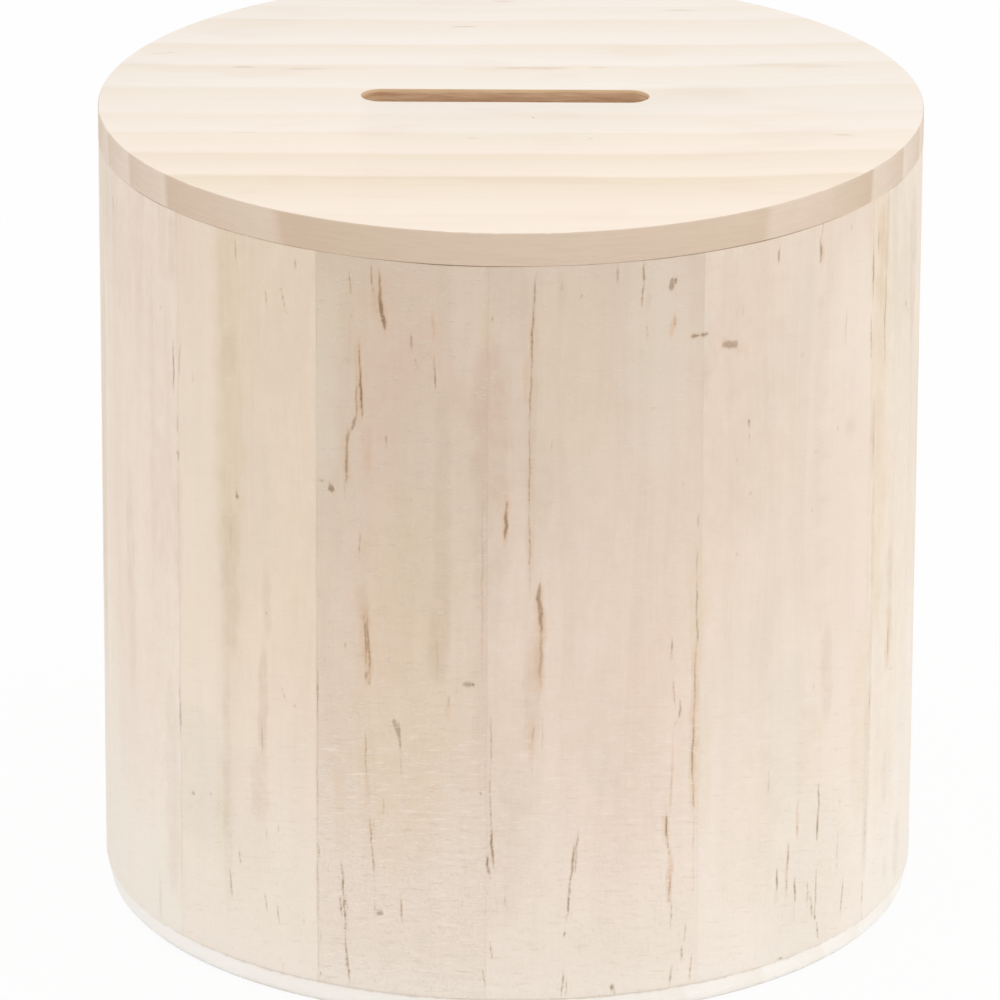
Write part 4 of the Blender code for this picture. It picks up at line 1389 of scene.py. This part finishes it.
def stave_section(name, start, bore, foot, head):
    """The stave's cross-section at its left glued edge: a plane with sanded corners."""
    middle = Vector(((bore + OUTSIDE_RADIUS) / 2, 0, (foot + head) / 2))
    deselect_all()
    bpy.ops.mesh.primitive_plane_add(size=1, location=middle, rotation=(math.pi / 2, 0, 0))
    stave = name_piece(name)
    stave.scale = (OUTSIDE_RADIUS - bore, head - foot, 1)
    bpy.ops.object.transform_apply(location=True, rotation=True, scale=True)
    bpy.ops.object.mode_set(mode="EDIT")
    bpy.ops.mesh.select_all(action="SELECT")
    bpy.ops.mesh.bevel(
        offset=sizes().stave_arris, offset_type="OFFSET", segments=ARRIS_SEGMENTS, affect="VERTICES"
    )
    bpy.ops.object.mode_set(mode="OBJECT")
    stave.rotation_euler.z = start - math.pi / 2
    bpy.ops.object.transform_apply(location=True, rotation=True, scale=True)
    return stave


def split_upright_edge(stave, radius, cuts):
    """Cuts the section's upright edge at this radius into even steps."""

    def is_upright(edge):
        low, high = (vertex.co for vertex in edge.verts)
        tall = abs(high.z - low.z) > OUTSIDE_RADIUS
        return tall and abs(low.xy.length - radius) < ON_RADIUS

    select_where(stave, is_upright, "EDGE")
    bpy.ops.mesh.subdivide(number_cuts=cuts)


def sink(stave, name, points, texture, direction, depth):
    """Sinks these points of the stave unevenly, as the texture says."""
    group = stave.vertex_groups.new(name=name)
    group.add(points, 1.0, "REPLACE")
    apply_modifier(
        stave, "DISPLACE", texture=texture, texture_coords="LOCAL", direction=direction,
        mid_level=1.0, strength=depth, vertex_group=name,
    )


def clouds(name, size, contrast=1.0):
    """A cloud texture that all the staves share, so that it runs on from one stave to the next."""
    texture = bpy.data.textures.get(name) or bpy.data.textures.new(name, "CLOUDS")
    texture.noise_scale = size
    texture.contrast = contrast
    return texture


def wear_the_rim(stave, head):
    """The top rim dips unevenly, so the dark gap under the lid is wider in places."""
    top = head - sizes().stave_arris * RIM_SHARE
    rim = [v.index for v in stave.data.vertices if v.co.z > top]
    texture = clouds("rim_wear", RIM_WEAR_SIZE, RIM_WEAR_CONTRAST)
    sink(stave, "rim", rim, texture, "Z", sizes().rim_wear)


def hollow_the_wall(stave):
    """Soft shallow hollows all over the outside, as a sander leaves them."""
    skin = OUTSIDE_RADIUS - SKIN_DEPTH
    outside = [v.index for v in stave.data.vertices if v.co.xy.length > skin]
    sink(stave, "outside", outside, clouds("sanding", HOLLOW_SIZE), "NORMAL", sizes().sanding_wave)


def from_mark(mark, number, around, level, waver):
    """Where each place lies from a mark: how far along it, with 1 at its ends, and how far off its line."""
    _, start, end, width, _ = mark
    start = Vector(start)
    end = Vector(end)
    middle = (start + end) / 2
    way = (end - start).normalized()
    reach = (end - start).length / 2 + width / 2
    right = around - middle.x
    up = level - middle.y
    along = (right * way.x + up * way.y) / reach
    wave = sum(part * np.sin(pace * up + own * number) for part, pace, own in MARK_WAVES)
    bend = wave * waver * width * np.clip(1 - along * along, 0, 1)
    return along, right * way.y - up * way.x + bend, reach


def soft_cover(mark, number, around, level):
    """How strongly a soft mark covers each place."""
    kind, _, _, width, strength = mark
    spread, waver, _ = SOFT_MARKS[kind]
    along, off, reach = from_mark(mark, number, around, level, waver)
    power = SHORT_MARK_POWER if 2 * reach < SHORT_MARK else LONG_MARK_POWER
    inside = np.clip(1 - along ** power - (off / (width * spread)) ** 2, 0, 1)
    return strength * inside * (2 - inside)


def streak_nearness(mark, number, around, level):
    """A slope that passes one half at a streak's edge, and its strength. It thins and fades to both ends."""
    width = mark[3]
    along, off, reach = from_mark(mark, number, around, level, STREAK_WAVER)
    beyond = np.clip(np.abs(along) - 1, 0, None) * reach
    half_width = width * STREAK_HALF * np.clip(1 - np.abs(along) ** STREAK_TAPER, 0, 1)
    nearness = np.clip(0.5 + (half_width - np.hypot(off, beyond)) / EDGE_SLOPE, 0, 1)
    return nearness, mark[4] * (1 - STREAK_FADE * np.clip(np.abs(along), 0, 1) ** 2)


def paint_marks(stave, marks, middle):
    """Paints the marks into layers of the mesh, and sets where the wide dark ones are pitted."""
    mesh = stave.data
    places = np.empty(len(mesh.vertices) * 3)
    mesh.vertices.foreach_get("co", places)
    x, y, z = places.reshape(-1, 3).T
    turned = np.arctan2(x, -y) - middle
    around = (turned - np.round(turned / math.tau) * math.tau) * OUTSIDE_MM
    level = z * MM_PER_METRE
    skin = np.hypot(x, y) > OUTSIDE_RADIUS - sizes().stave_arris
    none = np.zeros(len(x))
    near, strength, pits = none, none, none
    cover = {kind: none for kind in SOFT_MARKS}
    for number, mark in enumerate(marks):
        kind = mark[0]
        if kind == "resin":
            nearness, its_strength = streak_nearness(mark, number, around, level)
            nearness = nearness * skin
            strength = np.where(nearness > near, its_strength, strength)
            near = np.maximum(near, nearness)
            if mark[3] >= PITTED_WIDTH:
                pits = np.maximum(pits, np.clip(nearness * 2 - 1, 0, 1) * mark[4])
        else:
            cover[kind] = np.maximum(cover[kind], soft_cover(mark, number, around, level) * skin)
    paint_layer(mesh, "streaks", near, strength, cover["amber"])
    paint_layer(mesh, "stains", cover["stain"], cover["honey"], cover["pale"])
    paint_layer(mesh, "patches", cover["blush"], cover["sage"], none)
    group = stave.vertex_groups.new(name="pits")
    for index in np.flatnonzero(pits):
        group.add([int(index)], float(pits[index]), "REPLACE")


def paint_layer(mesh, name, *values):
    attribute = mesh.attributes.new(name, "FLOAT_VECTOR", "POINT")
    attribute.data.foreach_set("vector", np.stack(values, 1).ravel())


def pit_the_marks(stave):
    """Shallow pits at the knots and the wide dark streaks."""
    apply_modifier(
        stave, "DISPLACE", direction="NORMAL", mid_level=0.0, strength=-sizes().pit_depth, vertex_group="pits"
    )


def make_stave(number, node):
    """One stave, swept round from its section, with its marks, its hollows and its worn rim."""
    start, end = stave_reach(node)
    middle = (start + end) / 2
    marks = marks_between(number, math.degrees(start), math.degrees(end))
    across, upwards = stave_steps(math.degrees(middle))
    widen = (packed_joint_gap() - sizes().joint_gap) / 2 / OUTSIDE_RADIUS
    foot = WALL_FOOT
    head = LID_LOW.z - sizes().shadow_gap
    bore = stave_bore()

    stave = stave_section(f"pine_{node}", start - widen, bore, foot, head)
    split_upright_edge(stave, OUTSIDE_RADIUS, math.ceil((head - foot) / upwards))
    split_upright_edge(stave, bore, INNER_FACE_STEPS)
    span = end - start + 2 * widen
    bpy.ops.mesh.select_mode(type="VERT")
    bpy.ops.mesh.select_all(action="SELECT")
    bpy.ops.mesh.spin(
        steps=math.ceil(span * OUTSIDE_RADIUS / across), angle=-span, center=(0, 0, 0), axis=(0, 0, 1)
    )
    bpy.ops.mesh.select_all(action="SELECT")
    bpy.ops.mesh.remove_doubles(threshold=WELD)
    bpy.ops.mesh.normals_make_consistent(inside=False)
    leave_edit_mode()
    select_where(stave, lambda face: len(face.verts) > MOST_SKIN_CORNERS, "FACE")
    bpy.ops.mesh.delete(type="ONLY_FACE")
    leave_edit_mode()

    paint_marks(stave, [on_the_flat(mark, math.degrees(middle)) for mark in marks], middle)
    hollow_the_wall(stave)
    pit_the_marks(stave)
    wear_the_rim(stave, head)
    close_glued_edges(stave)
    finish_piece(stave, node, stave_pine(number, node, start, end), "box")


def close_glued_edges(stave):
    """Puts back the two flat ends of the stave, which are off while the skin is worked."""
    make_active(stave)
    bpy.ops.object.mode_set(mode="EDIT")
    bpy.ops.mesh.select_all(action="SELECT")
    bpy.ops.mesh.fill_holes(sides=0)
    leave_edit_mode()


def stave_steps(angle):
    """The mesh is finest on the staves that face the front, and finer across than upwards."""
    if FINE_FROM < angle < FINE_TO:
        across = sizes().front_step
    elif PHOTOGRAPHED_FROM < angle < PHOTOGRAPHED_TO:
        across = sizes().side_step
    else:
        across = sizes().back_step
    return across, across * UPRIGHT_STEP_SHARE


def packed_joint_gap():
    """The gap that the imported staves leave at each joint, in metres along the outside."""
    ends = [stave_reach(node) for node in STAVES[:2]]
    return (ends[1][0] - ends[0][1]) * OUTSIDE_RADIUS


class MONEYBOX_OT_wall(bpy.types.Operator):
    """Model the staves of the wall and finish them as sanded pine"""

    bl_idname = "money_box.wall"
    bl_label = "Wall Staves"
    bl_options = {"REGISTER", "UNDO"}

    def execute(self, context):
        for number, node in enumerate(STAVES, 1):
            make_stave(number, node)
        return {"FINISHED"}


# The turned discs


def turned_disc(name, radius, low, high, top_arris, foot_arris):
    """A disc turned to size, with its two arrises sanded round."""
    deselect_all()
    bpy.ops.mesh.primitive_cylinder_add(
        vertices=DISC_SIDES, radius=radius, depth=high - low, location=(0, 0, (low + high) / 2),
        end_fill_type="NGON",
    )
    disc = name_piece(name)
    bpy.ops.object.transform_apply(location=True, rotation=True, scale=True)
    for height, arris in ((high, top_arris), (low, foot_arris)):

        def on_rim(edge, height=height):
            return all(abs(vertex.co.z - height) < WELD for vertex in edge.verts)

        select_where(disc, on_rim, "EDGE")
        bpy.ops.mesh.bevel(
            offset=arris, offset_type="OFFSET", segments=ARRIS_SEGMENTS, profile=0.5, affect="EDGES"
        )
        leave_edit_mode()
    return disc


def slot_reach():
    """The coin slot's lowest and highest x and y, from the lid board's inner corners."""
    board = frame["nodes"]["lid_board"].data
    inner = [v.co for v in board.vertices if v.co.xy.length < NEAR_AXIS]
    low = Vector((min(c.x for c in inner), min(c.y for c in inner)))
    high = Vector((max(c.x for c in inner), max(c.y for c in inner)))
    return low, high


def slot_cutter():
    """A block with half-round ends, right through the lid."""
    low, high = slot_reach()
    middle = (low + high) / 2
    reach = high - low
    foot = DISC_LOW.z - CUT_OVERRUN
    deselect_all()
    bpy.ops.mesh.primitive_plane_add(size=1, location=(middle.x, middle.y, foot))
    cutter = name_piece("slot_cutter")
    cutter.scale = (reach.x, reach.y, 1)
    bpy.ops.object.transform_apply(location=True, rotation=True, scale=True)
    bpy.ops.object.mode_set(mode="EDIT")
    bpy.ops.mesh.select_all(action="SELECT")
    round_end = reach.y / 2 - WELD
    bpy.ops.mesh.bevel(
        offset=round_end, offset_type="OFFSET", segments=SLOT_END_SEGMENTS, affect="VERTICES"
    )
    bpy.ops.mesh.select_all(action="SELECT")
    height = LID_HIGH.z + CUT_OVERRUN - foot
    bpy.ops.mesh.extrude_region_move(TRANSFORM_OT_translate={"value": (0, 0, height)})
    bpy.ops.mesh.select_all(action="SELECT")
    bpy.ops.mesh.normals_make_consistent(inside=False)
    leave_edit_mode()
    return cutter


def rout_slot(disc, high):
    """Cuts the coin slot through a disc, and eases its upper edge."""
    cutter = slot_cutter()
    apply_modifier(disc, "BOOLEAN", operation="DIFFERENCE", solver="EXACT", object=cutter)
    bpy.data.objects.remove(cutter)

    def on_slot_rim(edge):
        flat = all(abs(vertex.co.z - high) < WELD for vertex in edge.verts)
        near = all(vertex.co.xy.length < NEAR_AXIS for vertex in edge.verts)
        upright = any(abs(face.normal.z) < UPRIGHT_BELOW for face in edge.link_faces)
        return flat and near and upright

    make_active(disc)
    select_where(disc, on_slot_rim, "EDGE")
    bpy.ops.mesh.bevel(
        offset=sizes().slot_arris, offset_type="OFFSET", segments=SLOT_ARRIS_SEGMENTS, affect="EDGES"
    )
    leave_edit_mode()


class MONEYBOX_OT_base(bpy.types.Operator):
    """Turn the thin base under the wall"""

    bl_idname = "money_box.base"
    bl_label = "Base Disc"
    bl_options = {"REGISTER", "UNDO"}

    def execute(self, context):
        base = turned_disc(
            "pine_base_disc", BASE_HIGH.x, BASE_LOW.z, BASE_HIGH.z,
            sizes().stave_arris, sizes().base_arris,
        )
        # Where the painted shadow line under the wall lies
        shadow_line_level = BASE_HIGH.z * MM_PER_METRE
        material = plain_board(
            "base_disc_pine", "base_edge", "base_ring", BASE_RING_SPACING, BASE_GRAIN_TURN,
            BASE_PAINTED_LIGHT_LEFT, shadow_line_level,
        )
        finish_piece(base, "base_disc", material, "box")
        return {"FINISHED"}


class MONEYBOX_OT_lid_board(bpy.types.Operator):
    """Turn the lid board and rout its coin slot"""

    bl_idname = "money_box.lid_board"
    bl_label = "Lid Board"
    bl_options = {"REGISTER", "UNDO"}

    def execute(self, context):
        board = turned_disc(
            "pine_lid_board", OUTSIDE_RADIUS, LID_LOW.z, LID_HIGH.z,
            sizes().lid_arris, sizes().lid_under_arris,
        )
        rout_slot(board, LID_HIGH.z)
        finish_piece(board, "lid_board", lid_pine(), "lid")
        return {"FINISHED"}


class MONEYBOX_OT_locating_disc(bpy.types.Operator):
    """Turn the disc under the lid that drops into the bore"""

    bl_idname = "money_box.locating_disc"
    bl_label = "Locating Disc"
    bl_options = {"REGISTER", "UNDO"}

    def execute(self, context):
        disc = turned_disc(
            "pine_locating_disc", DISC_HIGH.x, DISC_LOW.z, DISC_HIGH.z,
            sizes().stave_arris, sizes().disc_arris,
        )
        rout_slot(disc, DISC_HIGH.z)
        material = plain_board(
            "locating_disc_pine", "board", "board_ring", DISC_RING_SPACING, DISC_GRAIN_TURN, 0.0
        )
        finish_piece(disc, "lid_locating_disc", material, "lid")
        return {"FINISHED"}


# The studio

# Where the camera stands and how it is turned, worked out from the outlines in the photograph
CAMERA_PLACE = (0.00146, -1.07866, 0.44968)
CAMERA_PITCH = 0.3562
CAMERA_YAW = 0.0024
CAMERA_ROLL = 0.0041
SENSOR_WIDTH = 36

# Where the lamps stand, how wide they are, and the point that they all face
SIDE_LAMP_PLACE = (0.95, -0.25, 0.35)
SIDE_LAMP_WIDTH = 0.7
TOP_LAMP_PLACE = (0.0, 0.15, 1.3)
TOP_LAMP_WIDTH = 1.2
LOW_LAMP_PLACE = (0.0, -0.9, 0.06)
LOW_LAMP_WIDTH = 0.5
LAMP_TARGET = (0, 0, 0.05)

# The floor's corners are rounded by this share of its width. Its paper has darker specks of this shade.
FLOOR_CORNER_SHARE = 0.25
PAPER_SHADE = 0.985
PAPER_ROUGHNESS = (0.86, 0.92)


def make_floor():
    """A wide pale floor with round corners, which keeps the box's shadow but is seen as nearly white."""
    width = studio().floor_size
    deselect_all()
    bpy.ops.mesh.primitive_plane_add(size=width, location=(0, 0, 0))
    floor = name_piece("studio_floor")
    bpy.ops.object.mode_set(mode="EDIT")
    bpy.ops.mesh.select_all(action="SELECT")
    bpy.ops.mesh.bevel(
        offset=width * FLOOR_CORNER_SHARE, offset_type="OFFSET", segments=FLOOR_CORNER_SEGMENTS,
        affect="VERTICES",
    )
    leave_edit_mode()
    floor.data.materials.append(floor_paper())


def floor_paper():
    """White paper: the camera sees mostly plain white, and the light bounces off it."""
    recipe = Recipe("studio_paper")
    speckle = recipe.pattern(recipe.millimetres(), *PAPER_SPECKLE)
    pale = rgba("floor")
    shade = tuple(level * PAPER_SHADE for level in pale[:3])
    paper = recipe.blend(recipe.remap(speckle, 0.3, 0.7), pale, (*shade, 1))
    recipe.feed(recipe.shader.inputs["Base Color"], paper)
    recipe.feed(recipe.shader.inputs["Roughness"], recipe.remap(speckle, 0.3, 0.7, *PAPER_ROUGHNESS))
    glow = recipe.node("ShaderNodeEmission", (("Color", (1, 1, 1, 1)), ("Strength", 1.0))).outputs[0]
    seen = recipe.product(seen_directly(recipe), studio().white)
    mixed = recipe.node("ShaderNodeMixShader", ((0, seen), (1, recipe.shader.outputs[0]), (2, glow)))
    recipe.tree.links.new(mixed.outputs[0], recipe.tree.nodes["Material Output"].inputs["Surface"])
    return recipe.material


def seen_directly(recipe):
    """1 for rays that should meet plain white: from the camera, by reflection or through clear things."""
    path = recipe.node("ShaderNodeLightPath").outputs
    total = recipe.total(path["Is Camera Ray"], path["Is Glossy Ray"], path["Is Transmission Ray"])
    return recipe.maths("MINIMUM", total, 1.0)


def make_sky():
    """Even light from all round, seen as plain white."""
    world = bpy.data.worlds.new("studio_sky")
    world.use_nodes = True
    bpy.context.scene.world = world
    tree = world.node_tree
    background = tree.nodes["Background"]
    background.inputs["Color"].default_value = (1, 1, 1, 1)
    background.inputs["Strength"].default_value = studio().sky
    white = tree.nodes.new("ShaderNodeBackground")
    white.inputs["Color"].default_value = (1, 1, 1, 1)
    white.inputs["Strength"].default_value = 1
    path = tree.nodes.new("ShaderNodeLightPath").outputs
    factor = path["Is Camera Ray"]
    for ray in ("Is Glossy Ray", "Is Transmission Ray"):
        either = tree.nodes.new("ShaderNodeMath")
        either.operation = "MAXIMUM"
        tree.links.new(factor, either.inputs[0])
        tree.links.new(path[ray], either.inputs[1])
        factor = either.outputs[0]
    mix = tree.nodes.new("ShaderNodeMixShader")
    tree.links.new(factor, mix.inputs[0])
    tree.links.new(background.outputs[0], mix.inputs[1])
    tree.links.new(white.outputs[0], mix.inputs[2])
    tree.links.new(mix.outputs[0], tree.nodes["World Output"].inputs["Surface"])


def make_lamp(name, place, width, power):
    """A soft square lamp that faces the box."""
    deselect_all()
    aim = (Vector(LAMP_TARGET) - Vector(place)).to_track_quat("-Z", "Y").to_euler()
    bpy.ops.object.light_add(type="AREA", location=place, rotation=aim)
    lamp = bpy.context.object
    lamp.name = name
    lamp.data.size = width
    lamp.data.energy = power


def make_camera():
    """The camera that took the photograph, as far as the outlines tell."""
    deselect_all()
    bpy.ops.object.camera_add()
    camera = bpy.context.object
    camera.name = "studio_camera"
    camera.data.sensor_width = SENSOR_WIDTH
    camera.data.lens = studio().lens
    camera.matrix_world = (
        Matrix.Translation(CAMERA_PLACE)
        @ Matrix.Rotation(CAMERA_YAW, 4, "Z")
        @ Matrix.Rotation(math.pi / 2 - CAMERA_PITCH, 4, "X")
        @ Matrix.Rotation(CAMERA_ROLL, 4, "Z")
    )
    bpy.context.scene.camera = camera


class MONEYBOX_OT_studio(bpy.types.Operator):
    """Set up the pale floor, the even light, the lamps and the camera"""

    bl_idname = "money_box.studio"
    bl_label = "Studio"
    bl_options = {"REGISTER", "UNDO"}

    def execute(self, context):
        context.scene.view_settings.view_transform = "Standard"
        make_floor()
        make_sky()
        across, back, up = SIDE_LAMP_PLACE
        make_lamp("lamp_right", (across, back, up), SIDE_LAMP_WIDTH, studio().right_power)
        make_lamp("lamp_left", (-across, back, up), SIDE_LAMP_WIDTH, studio().left_power)
        make_lamp("lamp_top", TOP_LAMP_PLACE, TOP_LAMP_WIDTH, studio().top_power)
        make_lamp("lamp_low", LOW_LAMP_PLACE, LOW_LAMP_WIDTH, studio().low_power)
        make_camera()
        return {"FINISHED"}


class MONEYBOX_PT_sidebar(bpy.types.Panel):
    """The money box's pieces and settings"""

    bl_idname = "MONEYBOX_PT_sidebar"
    bl_label = "Money Box"
    bl_space_type = "VIEW_3D"
    bl_region_type = "UI"
    bl_category = "Money Box"

    def draw(self, context):
        for operator in OPERATORS:
            self.layout.operator(operator.bl_idname)
        for group in (
            context.scene.money_box_sizes, context.scene.money_box_colours, context.scene.money_box_studio
        ):
            box = self.layout.box()
            for name in group.bl_rna.properties.keys():
                if name not in ("rna_type", "name"):
                    box.prop(group, name)


OPERATORS = (
    MONEYBOX_OT_wall,
    MONEYBOX_OT_base,
    MONEYBOX_OT_lid_board,
    MONEYBOX_OT_locating_disc,
    MONEYBOX_OT_studio,
)
SETTINGS = (MoneyBoxSizes, MoneyBoxColours, MoneyBoxStudio)


def register():
    for item in (*SETTINGS, *OPERATORS, MONEYBOX_PT_sidebar):
        bpy.utils.register_class(item)
    bpy.types.Scene.money_box_sizes = bpy.props.PointerProperty(type=MoneyBoxSizes)
    bpy.types.Scene.money_box_colours = bpy.props.PointerProperty(type=MoneyBoxColours)
    bpy.types.Scene.money_box_studio = bpy.props.PointerProperty(type=MoneyBoxStudio)


def unregister():
    del bpy.types.Scene.money_box_studio
    del bpy.types.Scene.money_box_colours
    del bpy.types.Scene.money_box_sizes
    for item in reversed((*SETTINGS, *OPERATORS, MONEYBOX_PT_sidebar)):
        bpy.utils.unregister_class(item)


def main():
    register()
    bpy.ops.money_box.wall()
    bpy.ops.money_box.base()
    bpy.ops.money_box.lid_board()
    bpy.ops.money_box.locating_disc()
    bpy.ops.money_box.studio()


if __name__ == "__main__":
    main()
